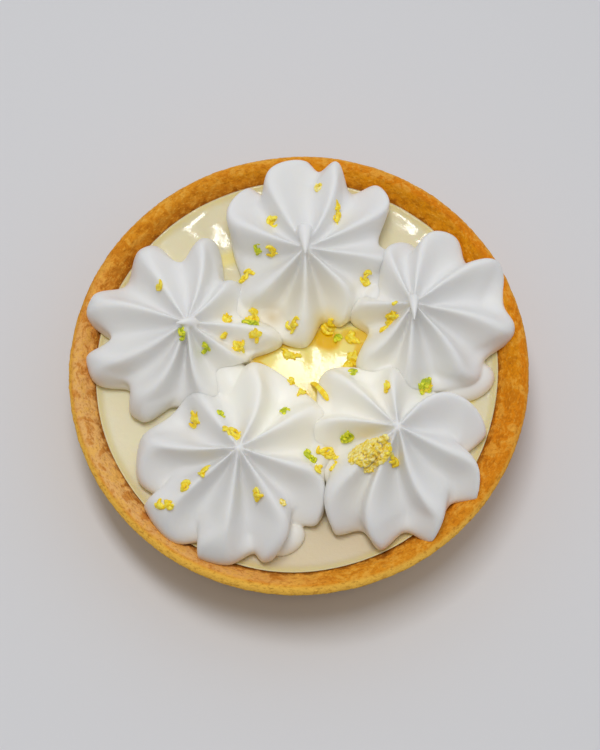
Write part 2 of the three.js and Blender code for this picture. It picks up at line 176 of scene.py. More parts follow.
def finished(name: str, form: bmesh.types.BMesh) -> bpy.types.Object:
    """Makes the object of a form, in metres and smoothly shaded.

    Args:
        name: The object's name.
        form: The form in millimetres, which is freed.

    Returns:
        The object, in the scene.
    """
    bmesh.ops.scale(form, vec=(MM, MM, MM), verts=form.verts)
    mesh = bpy.data.meshes.new(name)
    form.to_mesh(mesh)
    form.free()
    mesh.shade_smooth()
    piece = bpy.data.objects.new(name, mesh)
    bpy.context.scene.collection.objects.link(piece)
    return piece


def settle(piece: bpy.types.Object) -> None:
    """Keeps what a piece's modifiers make of it as its own mesh, and drops them.

    Args:
        piece: The piece, changed in place.
    """
    bpy.context.view_layer.update()
    shaped = piece.evaluated_get(bpy.context.evaluated_depsgraph_get())
    mesh = bpy.data.meshes.new_from_object(shaped)
    piece.modifiers.clear()
    worn, piece.data = piece.data, mesh
    bpy.data.meshes.remove(worn)
    mesh.name = piece.name


def fuse(piece: bpy.types.Object, grain: float, passes: int) -> None:
    """Joins a piece's overlapping closed forms into one skin and softens it.

    Args:
        piece: The piece, changed in place.
        grain: The size of the skin's faces, in millimetres.
        passes: How often the skin is smoothed.
    """
    skin = piece.modifiers.new("skin", "REMESH")
    skin.mode = "VOXEL"
    skin.voxel_size = grain * MM
    soft = piece.modifiers.new("soft", "SMOOTH")
    soft.factor = 0.5
    soft.iterations = passes
    settle(piece)
    piece.data.shade_smooth()


def cut(piece: bpy.types.Object, other: bpy.types.Object) -> None:
    """Takes away what another piece fills, and leaves the edge of the cut sharp.

    Args:
        piece: The piece, changed in place.
        other: The piece that presses it and keeps its own form.
    """
    press = piece.modifiers.new("press", "BOOLEAN")
    press.operation = "DIFFERENCE"
    press.solver = "MANIFOLD"
    press.object = other
    settle(piece)
    piece.data.set_sharp_from_angle(angle=math.radians(CUT_ANGLE))


def painted(piece: bpy.types.Object, name: str, strength: Callable[[Vector], float]) -> None:
    """Stores a number for each of a piece's points, found from its place, which its material reads by name."""
    values = [strength(vert.co / MM) for vert in piece.data.vertices]
    piece.data.attributes.new(name, "FLOAT", "POINT").data.foreach_set("value", values)


def under(spot: Vector, ground: BVHTree) -> tuple[Vector, Vector] | None:
    """What lies under a spot: its place in millimetres and the way that it faces, or none where nothing does."""
    hit, normal, _, _ = ground.ray_cast(Vector((spot.x, spot.y, DROP_HEIGHT)) * MM, -UP)
    return None if hit is None else (hit / MM, normal)


def turn_form(form: bmesh.types.BMesh, degrees: float, axis: str = "Z") -> None:
    """Turns a form about an axis through the origin."""
    bmesh.ops.rotate(form, matrix=Matrix.Rotation(math.radians(degrees), 3, axis), verts=form.verts)


def add_form(whole: bmesh.types.BMesh, part: bmesh.types.BMesh) -> None:
    """Adds a form to another.

    Args:
        whole: The form that gathers it.
        part: The form that is added, which is freed.
    """
    loose = bpy.data.meshes.new("part")
    part.to_mesh(loose)
    part.free()
    whole.from_mesh(loose)
    bpy.data.meshes.remove(loose)


def ride(piece: bpy.types.Object, slot: str, *nodes: str) -> None:
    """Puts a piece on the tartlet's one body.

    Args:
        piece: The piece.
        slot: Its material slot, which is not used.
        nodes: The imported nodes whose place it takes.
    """
    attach(piece, "root")
    if nodes:
        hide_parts(*nodes)
    log.info("%s: %d faces", piece.name, len(piece.data.polygons))


# ---------------------------------------------------------------- shader maths


@dataclass(frozen=True)
class Fade:
    """The two values between which a tint fades in or out, and its strength."""

    low: float
    high: float
    strength: float = 1.0


class Wire:
    """A value that varies over a surface. Python's operators add the Math nodes that work it out."""

    def __init__(self, recipe: Recipe, socket: bpy.types.NodeSocket | None) -> None:
        """Wraps an output socket of a recipe's node, or none for the node that ends a recipe."""
        self.recipe = recipe
        self.socket = socket

    def _math(self, operation: str, first: Wire | float, second: Wire | float) -> Wire:
        """Adds the Math node for an operation on two values."""
        return self.recipe.node("ShaderNodeMath", {"operation": operation}, {0: first, 1: second})

    def __add__(self, other: Wire | float) -> Wire:
        """This value plus another."""
        return self._math("ADD", self, other)

    def __sub__(self, other: Wire | float) -> Wire:
        """This value less another."""
        return self._math("SUBTRACT", self, other)

    def __rsub__(self, other: float) -> Wire:
        """A number less this value."""
        return self._math("SUBTRACT", other, self)

    def __mul__(self, other: Wire | float) -> Wire:
        """This value times another."""
        return self._math("MULTIPLY", self, other)

    def __pow__(self, power: float) -> Wire:
        """This value to a power."""
        return self._math("POWER", self, power)

    __radd__ = __add__
    __rmul__ = __mul__

    def spread(self, low: float, high: float) -> Wire:
        """Goes softly from 0 where this value is low to 1 where it is high."""
        settings = {"interpolation_type": "SMOOTHSTEP"}
        return self.recipe.node("ShaderNodeMapRange", settings, {"Value": self, "From Min": low, "From Max": high})

    def between(self, low: float, high: float) -> Wire:
        """Goes evenly from low, where this value is 0, to high, where it is 1."""
        return self * (high - low) + low

    def above(self, fade: Fade) -> Wire:
        """A fade's strength where this value is high, and 0 where it is low."""
        return self.spread(fade.low, fade.high) * fade.strength

    def below(self, fade: Fade) -> Wire:
        """A fade's strength where this value is low, and 0 where it is high."""
        return (1 - self.spread(fade.low, fade.high)) * fade.strength


class Recipe:
    """The node tree of a material, or of the sky, while it is put together."""

    GRAIN_ROUGHNESS = 0.6

    def __init__(self, name: str, sky: bpy.types.World | None = None) -> None:
        """Starts an empty material, or empties the sky.

        Args:
            name: The material's name.
            sky: The sky, if this is its recipe.
        """
        self.owner = sky or bpy.data.materials.new(name)
        self.owner.use_nodes = True
        self.tree = self.owner.node_tree
        self.tree.nodes.clear()

    def node(self, kind: str, settings: dict | None = None, inputs: dict | None = None, output: int | str = 0) -> Wire:
        """Adds a node.

        Args:
            kind: The node's type.
            settings: The node's own settings, set before its sockets.
            inputs: A value or a wire for each named or numbered input socket.
            output: The name or number of the output socket that is wanted.

        Returns:
            The wire that leaves the node.
        """
        node = self.tree.nodes.new(kind)
        for key, value in (settings or {}).items():
            setattr(node, key, value)
        for key, value in (inputs or {}).items():
            if isinstance(value, Wire):
                self.tree.links.new(value.socket, node.inputs[key])
            else:
                node.inputs[key].default_value = value
        return Wire(self, node.outputs[output] if node.outputs else None)

    def place(self) -> Wire:
        """The place on the tartlet, in metres."""
        return self.node("ShaderNodeTexCoord", output="Object")

    def axes(self) -> tuple[Wire, Wire, Wire]:
        """The place on the tartlet, split up.

        Returns:
            The place along X, Y and Z, in millimetres.
        """
        split = self.tree.nodes.new("ShaderNodeSeparateXYZ")
        self.tree.links.new(self.place().socket, split.inputs[0])
        x, y, z = (Wire(self, socket) * (1 / MM) for socket in split.outputs)
        return x, y, z

    def paint(self, name: str) -> Wire:
        """The number that a piece stores for its points under a name."""
        return self.node("ShaderNodeAttribute", {"attribute_name": name}, output="Fac")

    def grain(self, size: float, detail: float = 2.0, twist: float = 0.0, at: Wire | None = None) -> Wire:
        """Noise about 0.5.

        Args:
            size: The size of its lumps, in millimetres.
            detail: How many finer layers it has.
            twist: How far it is swirled.
            at: Where it is read, in metres, if not at the place on the tartlet.

        Returns:
            The noise.
        """
        inputs = {"Vector": at or self.place(), "Scale": 1 / (size * MM), "Detail": detail}
        inputs |= {"Roughness": self.GRAIN_ROUGHNESS, "Distortion": twist}
        return self.node("ShaderNodeTexNoise", inputs=inputs)

    def stretched(self, x: Wire, y: Wire, z: Wire, girth: float) -> Wire:
        """The place round the upright axis, unrolled.

        Args:
            x: The place along X, in millimetres.
            y: The place along Y, in millimetres.
            z: The place along Z, in millimetres.
            girth: How long a turn of one radian is when unrolled, in millimetres.

        Returns:
            The unrolled place, in metres.
        """
        turn = self.node("ShaderNodeMath", {"operation": "ARCTAN2"}, {0: y, 1: x})
        radius = (x * x + y * y) ** 0.5
        parts = (turn * (girth * MM), radius * MM, z * MM)
        return self.node("ShaderNodeCombineXYZ", inputs=dict(enumerate(parts)))

    def blend(self, part: Wire | float, first: Wire | Colour, second: Wire | Colour) -> Wire:
        """A colour that goes from the first, where part is 0, to the second, where it is 1."""
        one, two = (c if isinstance(c, Wire) else (*c, 1.0) for c in (first, second))
        return self.node("ShaderNodeMix", {"data_type": "RGBA"}, {0: part, 6: one, 7: two}, output=2)

    def bump(self, height: Wire, depth: float) -> Wire:
        """Relief from a height of 0 to 1, with its whole depth in millimetres."""
        return self.node("ShaderNodeBump", inputs={"Height": height, "Distance": depth * MM, "Strength": 1.0})

    def surface(self, sockets: dict[str, Wire | float | tuple]) -> bpy.types.Material:
        """Ends the recipe with a Principled surface.

        Args:
            sockets: A value or a wire for each of its named sockets that isn't left as it is.

        Returns:
            The material.
        """
        inputs = {
            name: (*value, 1.0) if name.endswith("Color") and isinstance(value, tuple) else value
            for name, value in sockets.items()
        }
        shader = self.node("ShaderNodeBsdfPrincipled", inputs=inputs)
        self.node("ShaderNodeOutputMaterial", inputs={"Surface": shader})
        return self.owner


# ---------------------------------------------------------------- finishes


@dataclass(frozen=True)
class SideTint:
    """A tint on one side of the shell, which fades with the cosine to its azimuth and with the depth inwards."""

    colour: Colour
    azimuth: float
    fade: Fade
    inwards: Place | None = None


@dataclass(frozen=True)
class BakedPastry:
    """Golden shortcrust: sandy and mottled, amber on one side, paler on the other, brown inside, partly as painted
    shade, and with painted bounce light outside.
    """

    gold: Colour = (0.78, 0.30, 0.016)
    amber: Colour = (0.75, 0.225, 0.003)
    honey: Colour = (0.74, 0.285, 0.002)
    sand: Colour = (0.90, 0.47, 0.07)
    pale_sand: Colour = (0.90, 0.54, 0.21)
    brown: Colour = (0.45, 0.14, 0.006)
    curd_line_dark: Colour = (0.24, 0.075, 0.006)
    bounce_lit_gold: Colour = (1.0, 0.585, 0.085)
    light_crumb: Colour = (0.98, 0.54, 0.085)
    amber_side: SideTint = SideTint(amber, 25, Fade(0.2, 0.85, 0.9))
    sandy_side: SideTint = SideTint(pale_sand, 212, Fade(0.3, 0.95, 0.75), (0.6, 1.6))
    honey_side: SideTint = SideTint(honey, 50, Fade(0.3, 0.8, 0.8), (1.8, 2.8))
    # Painted shade: the inner wall of the +Y side is browner, as it faces away from the light.
    shaded_inner_side: SideTint = SideTint(brown, 115, Fade(0.25, 0.95, 0.6), (2.4, 4.2))
    # Painted bounce light: the outer face of the -Y side is lit gold.
    bounce_lit_side: SideTint = SideTint(bounce_lit_gold, 250, Fade(-0.2, 0.7, 0.9))
    # The sizes of the patterns, and how long a turn of one radian is where the streaks are drawn, in millimetres.
    crumb: float = 0.42
    streak: float = 0.546
    mottle: float = 2.6
    girth: float = 25.0
    # Where each pattern, which is noise about 0.5, is light or dark.
    mottle_light: Fade = Fade(0.5, 0.6, 0.5)
    mottle_dark: Fade = Fade(0.36, 0.5, 0.5)
    patch_dark: Fade = Fade(0.4, 0.47, 0.36)
    streak_light: Fade = Fade(0.52, 0.7, 0.42)
    streak_dark: Fade = Fade(0.32, 0.48, 0.5)
    crumb_dark: Fade = Fade(0.3, 0.42, 0.4)
    # The depths inwards over which the patches and the dark band above the curd start, and those where the outer face
    # ends.
    patches_from: Place = (1.0, 2.4)
    curd_line_from: Place = (2.0, 3.4)
    outer_to: Place = (0.3, 1.2)
    # How far above the curd the wall is darker, how far the patterns move that edge, and how much lighter the outside
    # is painted.
    curd_line_shade: Fade = Fade(1.4, 2.4, 0.75)
    mottle_reach: float = 1.6
    streak_reach: float = 1.2
    outer_bounce_light: float = 0.35
    relief: float = 0.35
    # How rough it is where it is smoothest and where it is roughest, and how much it shines.
    roughness: Place = (0.7, 0.9)
    shine: float = 0.12

    def material(self, shell: PastryShell, shore: float) -> bpy.types.Material:
        """Makes the material.

        Args:
            shell: The shell, for the places of its faces.
            shore: The height at which the curd meets it, in millimetres.

        Returns:
            The material.
        """
        recipe = Recipe("baked_pastry")
        x, y, z = recipe.axes()
        radius = (x * x + y * y) ** 0.5
        slant = math.tan(math.radians(shell.taper))
        inwards = z * slant + (shell.outer(0) - radius)

        def tinted(base: Wire | Colour, tint: SideTint, part: Wire | float = 1.0) -> Wire:
            """Lays a side's tint over a colour.

            Args:
                base: The colour.
                tint: The side's tint.
                part: 1 where it may lie, and 0 where it may not.

            Returns:
                The tinted colour.
            """
            way = polar(1 / shell.widest, tint.azimuth)
            mask = (x * way.x + y * way.y).above(tint.fade) * part
            if tint.inwards:
                mask = mask * inwards.spread(*tint.inwards)
            return recipe.blend(mask, base, tint.colour)

        crumb = recipe.grain(self.crumb)
        streak = recipe.grain(self.streak, detail=3, twist=0.5, at=recipe.stretched(x, y, z, self.girth))
        mottle = recipe.grain(self.mottle, detail=4, twist=0.6)
        colour = tinted(self.gold, self.amber_side)
        colour = tinted(colour, self.sandy_side)
        colour = recipe.blend(mottle.above(self.mottle_light), colour, self.sand)
        colour = recipe.blend(mottle.below(self.mottle_dark), colour, self.amber)
        colour = tinted(colour, self.honey_side)
        patches = mottle.below(self.patch_dark) * inwards.spread(*self.patches_from)
        colour = recipe.blend(patches, colour, self.brown)
        colour = tinted(colour, self.shaded_inner_side)
        ragged = z - shore + mottle * self.mottle_reach + streak * self.streak_reach
        # Painted shade in the corner where the curd meets the wall, which also stands for crumb soaked by the curd.
        curd_line_mask = ragged.below(self.curd_line_shade) * inwards.spread(*self.curd_line_from)
        colour = recipe.blend(curd_line_mask, colour, self.curd_line_dark)
        # Painted bounce light: the outer face is lighter all round and gold on the -Y side.
        outer = 1 - inwards.spread(*self.outer_to)
        colour = tinted(colour, self.bounce_lit_side, outer)
        colour = recipe.blend(outer * self.outer_bounce_light, colour, self.light_crumb)
        colour = recipe.blend(streak.above(self.streak_light), colour, self.light_crumb)
        colour = recipe.blend(streak.below(self.streak_dark), colour, self.brown)
        colour = recipe.blend(crumb.below(self.crumb_dark), colour, self.brown)
        return recipe.surface(
            {
                "Base Color": colour,
                "Roughness": crumb.between(*self.roughness),
                "Normal": recipe.bump(crumb * 0.5 + streak * 0.5, self.relief),
                "Specular IOR Level": self.shine,
            }
        )


@dataclass(frozen=True)
class SetCurd:
    """Pale lemon curd, satin where it is calm and glossy where it was stirred, stained by syrup in the middle."""

    cream: Colour = (0.79, 0.72, 0.475)
    pale: Colour = (0.82, 0.76, 0.56)
    shade: Colour = (0.82, 0.66, 0.30)
    # Painted shade: darker and warmer towards -Y.
    south_shade: Colour = (0.69, 0.565, 0.355)
    glaze: Colour = (0.97, 0.81, 0.25)
    syrup: Colour = (0.84, 0.50, 0.0)
    # The sizes of its clouds and of the ripple in its gloss, with the ripple's relief, in millimetres.
    cloud: float = 6.0
    ripple: float = 1.0
    relief: float = 0.05
    # Where it is paler, how far towards -Y it is painted darker and warmer as shade, and where syrup glazes or stains
    # it.
    cloudy: Fade = Fade(0.3, 0.7, 0.3)
    south_shaded: Fade = Fade(16, 34, 0.9)
    glazed: Fade = Fade(0, 0.5)
    stained: Fade = Fade(0.45, 1)
    shaded: float = 0.75
    # How rough it is where it was stirred and where it is calm, and how far each colour of light sinks in, in metres.
    roughness: Place = (0.15, 0.45)
    sinking: Colour = (0.003, 0.0022, 0.0009)
    translucence: float = 0.4

    def material(self) -> bpy.types.Material:
        """Makes the material, which reads the curd's painted syrup, shore and calm.

        Returns:
            The material.
        """
        recipe = Recipe("set_curd")
        _, y, _ = recipe.axes()
        syrup, shore, calm = (recipe.paint(name) for name in ("syrup", "shore", "calm"))
        colour = recipe.blend(recipe.grain(self.cloud).above(self.cloudy), self.cream, self.pale)
        # Painted shade: the curd gets darker and warmer towards -Y.
        colour = recipe.blend((0 - y).above(self.south_shaded), colour, self.south_shade)
        colour = recipe.blend(shore * self.shaded, colour, self.shade)
        colour = recipe.blend(syrup.above(self.glazed), colour, self.glaze)
        colour = recipe.blend(syrup.above(self.stained), colour, self.syrup)
        return recipe.surface(
            {
                "Base Color": colour,
                "Roughness": calm.between(*self.roughness),
                "Normal": recipe.bump(recipe.grain(self.ripple), self.relief),
                "Subsurface Weight": self.translucence,
                "Subsurface Radius": self.sinking,
                "Subsurface Scale": 1.0,
            }
        )


@dataclass(frozen=True)
class SpotTint:
    """A tint on the meringues about a place, which reaches so far where they meet the curd, and less high up."""

    colour: Colour
    place: Place
    reach: float
    strength: float


@dataclass(frozen=True)
class WhippedMeringue:
    """Soft white meringue that light sinks into, painted creamier low down and in the middle as bounce light, with
    painted shade and syrup tints.
    """

    white: Colour = (0.835, 0.83, 0.82)
    cloud: Colour = (0.83, 0.825, 0.80)
    # Painted bounce light: the middle is brighter and creamier.
    cream: Colour = (0.99, 0.96, 0.865)
    # Painted bounce light from the curd: creamier low down.
    low_bounce_cream: Colour = (0.94, 0.89, 0.76)
    # Painted shade on slopes that face away from the light.
    shade_grey: Colour = (0.77, 0.725, 0.60)
    syrup: Colour = (0.95, 0.76, 0.22)
    # Painted shade in a hollow.
    tan: Colour = (0.68, 0.55, 0.32)
    spot_tints: Sequence[SpotTint] = (
        # Painted shade: greyer on slopes that face away from the light, on the -Y sides of the far and front right
        # meringues.
        SpotTint(shade_grey, (1.0, 12.5), reach=9.0, strength=0.9),
        SpotTint(shade_grey, (11.5, -27.0), reach=8.0, strength=0.5),
        SpotTint(syrup, (5.6, 8.2), reach=5.0, strength=0.85),
        SpotTint(syrup, (12.5, 5.2), reach=3.6, strength=0.85),
        # Painted shade, tan, in the hollow between the left and far meringues.
        SpotTint(tan, (-5.3, 9.4), reach=4.4, strength=0.9),
    )
    # Where it is cloudy, how near to the middle it is painted brighter as bounce light, and how low down it is painted
    # creamier as bounce light.
    middle: Place = (2, -3)
    cloudy: Fade = Fade(0.4, 0.7, 0.5)
    lit_middle: Fade = Fade(22, 38)
    low_bounce: Fade = Fade(18.2, 22.0, 0.75)
    # How far from its place a tint starts to fade, what its edge adds to its reach, and how much it shrinks upwards.
    tint_core: float = 5.2
    tint_edge: float = 5.8
    tint_shrink: float = 0.3
    # The sizes of its clouds and of its foam, with the foam's relief, in millimetres.
    clouds: float = 9.0
    foam: float = 0.7
    relief: float = 0.02
    # How rough it is at its smoothest and roughest, and how far each colour of light sinks in, in metres.
    roughness: Place = (0.4, 0.5)
    sinking: Colour = (0.0018, 0.0016, 0.0013)
    translucence: float = 0.35

    def material(self) -> bpy.types.Material:
        """Makes the material.

        Returns:
            The material.
        """
        recipe = Recipe("whipped_meringue")
        x, y, z = recipe.axes()
        cloud = recipe.grain(self.clouds, detail=1)
        foam = recipe.grain(self.foam)

        def away(place: Place) -> Wire:
            """How far the surface lies from a place, seen from above."""
            return ((x - place[0]) ** 2 + (y - place[1]) ** 2) ** 0.5

        colour = recipe.blend(cloud.above(self.cloudy), self.white, self.cloud)
        # Painted bounce light: brighter and creamier towards the middle.
        colour = recipe.blend((away(self.middle) + cloud * 6 + z * 0.4).below(self.lit_middle), colour, self.cream)
        # Painted bounce light from the curd: creamier low down.
        colour = recipe.blend((z + cloud * 2).below(self.low_bounce), colour, self.low_bounce_cream)
        # Lays each tint: syrup stains, and painted shade on slopes that face away from the light and in a hollow.
        for tint_spot in self.spot_tints:
            fade = Fade(self.tint_core, tint_spot.reach + self.tint_edge, tint_spot.strength)
            mask = (away(tint_spot.place) + z * self.tint_shrink).below(fade)
            colour = recipe.blend(mask, colour, tint_spot.colour)
        return recipe.surface(
            {
                "Base Color": colour,
                "Roughness": foam.between(*self.roughness),
                "Subsurface Weight": self.translucence,
                "Subsurface Radius": self.sinking,
                "Subsurface Scale": 1.0,
                "Normal": recipe.bump(foam, self.relief),
            }
        )


@dataclass(frozen=True)
class Rind:
    """Grated rind, in patches of its own colour and its pith's, that light comes through and that glows faintly as
    painted light.
    """

    zest: Colour
    pith: Colour
    # The size of its patches in millimetres, and where they are pith.
    patch: float = 0.9
    pithy: Fade = Fade(0.4, 0.62)
    # How rough it is, how far each colour of light sinks in, in metres, how much light comes through it, and its
    # painted glow.
    roughness: float = 0.45
    sinking: Colour = (0.0008, 0.0006, 0.0001)
    translucence: float = 0.35
    glow: float = 0.06

    def material(self, name: str) -> bpy.types.Material:
        """Makes the material.

        Args:
            name: Its name.

        Returns:
            The material.
        """
        recipe = Recipe(name)
        colour = recipe.blend(recipe.grain(self.patch).above(self.pithy), self.zest, self.pith)
        return recipe.surface(
            {
                "Base Color": colour,
                "Roughness": self.roughness,
                "Subsurface Weight": self.translucence,
                "Subsurface Radius": self.sinking,
                "Subsurface Scale": 1.0,
                # Painted light: the rind glows faintly in its own colour.
                "Emission Color": colour,
                "Emission Strength": self.glow,
            }
        )


class Fruit(Enum):
    """The fruit whose rind was grated."""

    LEMON = Rind(zest=(0.92, 0.62, 0.004), pith=(0.99, 0.82, 0.09))
    PALE_LEMON = Rind(zest=(0.93, 0.68, 0.05), pith=(1.0, 0.86, 0.34))
    LIME = Rind(zest=(0.42, 0.50, 0.006), pith=(0.80, 0.78, 0.03))


# ---------------------------------------------------------------- pastry shell and curd


@dataclass
class PastryShell:
    """The baked shell: a floor and a tapering wall with a sloping inner rim, uneven as pressed by hand."""

    widest: float
    height: float
    oval: float = 0.4
    oval_azimuth: float = 75.0
    fullness: float = 0.3
    taper: float = 14.0
    wall: float = 4.85
    wall_thinning: float = 0.6
    wall_thickening: float = 0.85
    thick_azimuth: float = -25.0
    floor: float = 3.2
    rim_rounding: float = 1.8
    foot_rounding: float = 0.8
    fillet: float = 3.0
    unevenness: float = 0.3
    raggedness: float = 0.3
    crumb: float = 0.15
    steps: int = 1000
    # How far apart its points are on the rim, which goes down to a depth, on the wall and where it is hidden.
    rim_spacing: float = 0.3
    rim_depth: float = 4.5
    wall_spacing: float = 0.7
    hidden_spacing: float = 5.0
    finish: BakedPastry = field(default_factory=BakedPastry)

    # How thick the wall is at each depth below the rim's top, where its inner side slopes down to the curd.
    SLOPE = ((1.8, 0.0), (2.5, 0.35), (3.3, 1.2), (4.2, 2.4), (4.85, 3.3))
    RIM_STEPS = 5
    # The part that each wave of the rim has, how often it rises round the shell, and where it starts, in radians.
    WAVES = ((0.5, 2, 0.6), (0.35, 5, 2.1), (0.25, 11, 4))
    # How much thicker the wall is where a wave rises, as part of the rise.
    WAVE_THICKENING = 0.5
    # The depths below the rim between which its waves fade in, and the radii between which the wall's unevenness does.
    WAVE_DEPTHS = (5, 1)
    UNEVEN_FROM = (20, 34)
    # The mean of the crumb's roughness, with the strengths and sizes of its layers.
    CRUMB_MEAN = 0.55
    CRUMBS = ((0.5, 2.2), (0.5, 0.8), (0.4, 0.4))
    # The inner wall's ragged layers likewise, the depths inwards over which they come in, and how far below the curd
    # they start.
    RAGS = ((1, 1.2), (0.7, 3.3))
    RAGGED_FROM = (2.0, 3.6)
    RAGGED_BELOW = 1.5
    # The base, up to this height, stays flat.
    FLAT_BASE = 0.3

    def outer(self, z: float) -> float:
        """The wall's mean outer radius at a height."""
        widest_at = self.height - self.unevenness - self.rim_rounding
        return self.widest + (z - widest_at) * math.tan(math.radians(self.taper))

    def rim_wave(self, azimuth: float) -> float:
        """How far the rim rises or falls at an azimuth."""
        angle = math.radians(azimuth)
        return self.unevenness * sum(part * math.sin(rises * angle + start) for part, rises, start in self.WAVES)

    def stretch(self, azimuth: float) -> float:
        """How much further out than a true circle the wall stands at an azimuth."""
        oval = self.oval * math.cos(math.radians(2 * (azimuth - self.oval_azimuth)))
        return oval - self.fullness * math.sin(math.radians(azimuth))

    def loss(self, azimuth: float) -> float:
        """How much thinner the wall is at an azimuth.

        Args:
            azimuth: The azimuth in degrees.

        Returns:
            The loss, which is most towards -Y and least towards the thick side.
        """
        towards_front = (1 - math.sin(math.radians(azimuth))) / 2
        towards_thick = (1 + math.cos(math.radians(azimuth - self.thick_azimuth))) / 2
        change = self.wall_thinning * towards_front**4 - self.wall_thickening * towards_thick**4
        return change - self.WAVE_THICKENING * self.rim_wave(azimuth)

    def inner(self, z: float, azimuth: float) -> float:
        """The wall's inner radius at a height, below its slope, and an azimuth."""
        return self.outer(z) + self.stretch(azimuth) - self.wall + self.loss(azimuth)

    def section(self) -> list[Place]:
        """The section as turned: the mean wall.

        Returns:
            Radius and height of its points, from the underside's middle over the rim to the floor's middle.
        """
        top = self.height - self.unevenness
        foot, edge, wall = self.foot_rounding, self.rim_rounding, self.wall
        bends = [(0.0, 0.0), (self.outer(0) - foot, 0.0), (self.outer(foot), foot)]
        bends.append((self.outer(top - edge), top - edge))
        for step in range(1, self.RIM_STEPS + 1):
            lean = math.radians(90 * step / self.RIM_STEPS)
            bends.append((self.outer(top) - edge * (1 - math.cos(lean)), top - edge * (1 - math.sin(lean))))
        bends += [(self.outer(top - depth) - thickness, top - depth) for thickness, depth in self.SLOPE]
        bends.append((self.outer(self.floor + self.fillet) - wall, self.floor + self.fillet))
        bends += [(self.outer(self.floor) - wall - self.fillet, self.floor), (0.0, self.floor)]
        points = [bends[0]]
        for start, end in zip(bends, bends[1:]):
            on_rim = min(start[1], end[1]) > self.height - self.rim_depth
            outside = end[0] > start[0] and end[1] > start[1]
            spacing = self.rim_spacing if on_rim else self.wall_spacing if outside else self.hidden_spacing
            pieces = max(1, round(math.dist(start, end) / spacing))
            steps = [step / pieces for step in range(1, pieces + 1)]
            points += [(mix(start[0], end[0], part), mix(start[1], end[1], part)) for part in steps]
        return points

    def build(self, shore: float) -> bpy.types.Object:
        """Turns the section, makes it uneven and roughens its skin with crumbs.

        Args:
            shore: The height at which the curd meets the shell.

        Returns:
            The shell.
        """
        form = turned(self.section(), self.steps)
        self.unround(form)
        self.roughen(form, shore)
        shell = finished("baked_shell", form)
        shell.data.materials.append(self.finish.material(self, shore))
        ride(shell, "pastry", "pastry_shell")
        return shell

    def unround(self, form: bmesh.types.BMesh) -> None:
        """Moves the turned form's points to where the uneven wall and the wavy rim are.

        Args:
            form: The form, changed in place.
        """
        wave_heights = [self.height - depth for depth in self.WAVE_DEPTHS]
        for vert in form.verts:
            radius = vert.co.xy.length
            azimuth = math.degrees(math.atan2(vert.co.y, vert.co.x))
            depth = min(max((self.outer(vert.co.z) - radius) / self.wall, 0.0), 1.0)
            outwards = (self.loss(azimuth) * depth + self.stretch(azimuth)) * smooth(radius, *self.UNEVEN_FROM)
            vert.co += polar(outwards, azimuth, self.rim_wave(azimuth) * smooth(vert.co.z, *wave_heights))

    def roughen(self, form: bmesh.types.BMesh, shore: float) -> None:
        """Roughens the skin with crumbs, and the inner wall above the curd more.

        Args:
            form: The form, changed in place.
            shore: The height at which the curd meets it.
        """
        form.normal_update()
        for vert in form.verts:
            if vert.co.z < self.FLAT_BASE:
                continue
            place = vert.co.copy()
            rough = self.CRUMB_MEAN + layered(place, self.CRUMBS)
            inside = smooth(self.outer(place.z) - place.xy.length, *self.RAGGED_FROM)
            inside *= smooth(place.z, shore - self.RAGGED_BELOW, shore)
            ragged = layered(place, self.RAGS)
            vert.co -= vert.normal * (self.crumb * rough + self.raggedness * inside * ragged)


@dataclass(frozen=True)
class Swell:
    """A long soft swell on the curd, about a place, that runs along a heading."""

    x: float
    y: float
    length: float
    width: float
    height: float
    heading: float = 0.0

    def lift(self, x: float, y: float) -> float:
        """How far it raises a place.

        Args:
            x: The place along X.
            y: The place along Y.

        Returns:
            The rise.
        """
        angle = math.radians(self.heading)
        ahead = (x - self.x) * math.cos(angle) + (y - self.y) * math.sin(angle)
        aside = (y - self.y) * math.cos(angle) - (x - self.x) * math.sin(angle)
        return self.height * math.exp(-((2 * ahead / self.length) ** 2) - (2 * aside / self.width) ** 2)


@dataclass(frozen=True)
class Streak:
    """A run of syrup from one place to another, which fades over its width; one run also paints shadow along an edge.
    """

    start: Place
    end: Place
    width: float
    strength: float = 1.0

    # The part of its width that is as strong as its middle.
    CORE = 0.25

    def at(self, x: float, y: float) -> float:
        """How strong it is at a place.

        Args:
            x: The place along X.
            y: The place along Y.

        Returns:
            Its strength there.
        """
        start, end, place = Vector(self.start), Vector(self.end), Vector((x, y))
        run = end - start
        part = min(max((place - start).dot(run) / run.length_squared, 0.0), 1.0)
        return self.strength * (1 - smooth((place - start - run * part).length, self.CORE * self.width, self.width))


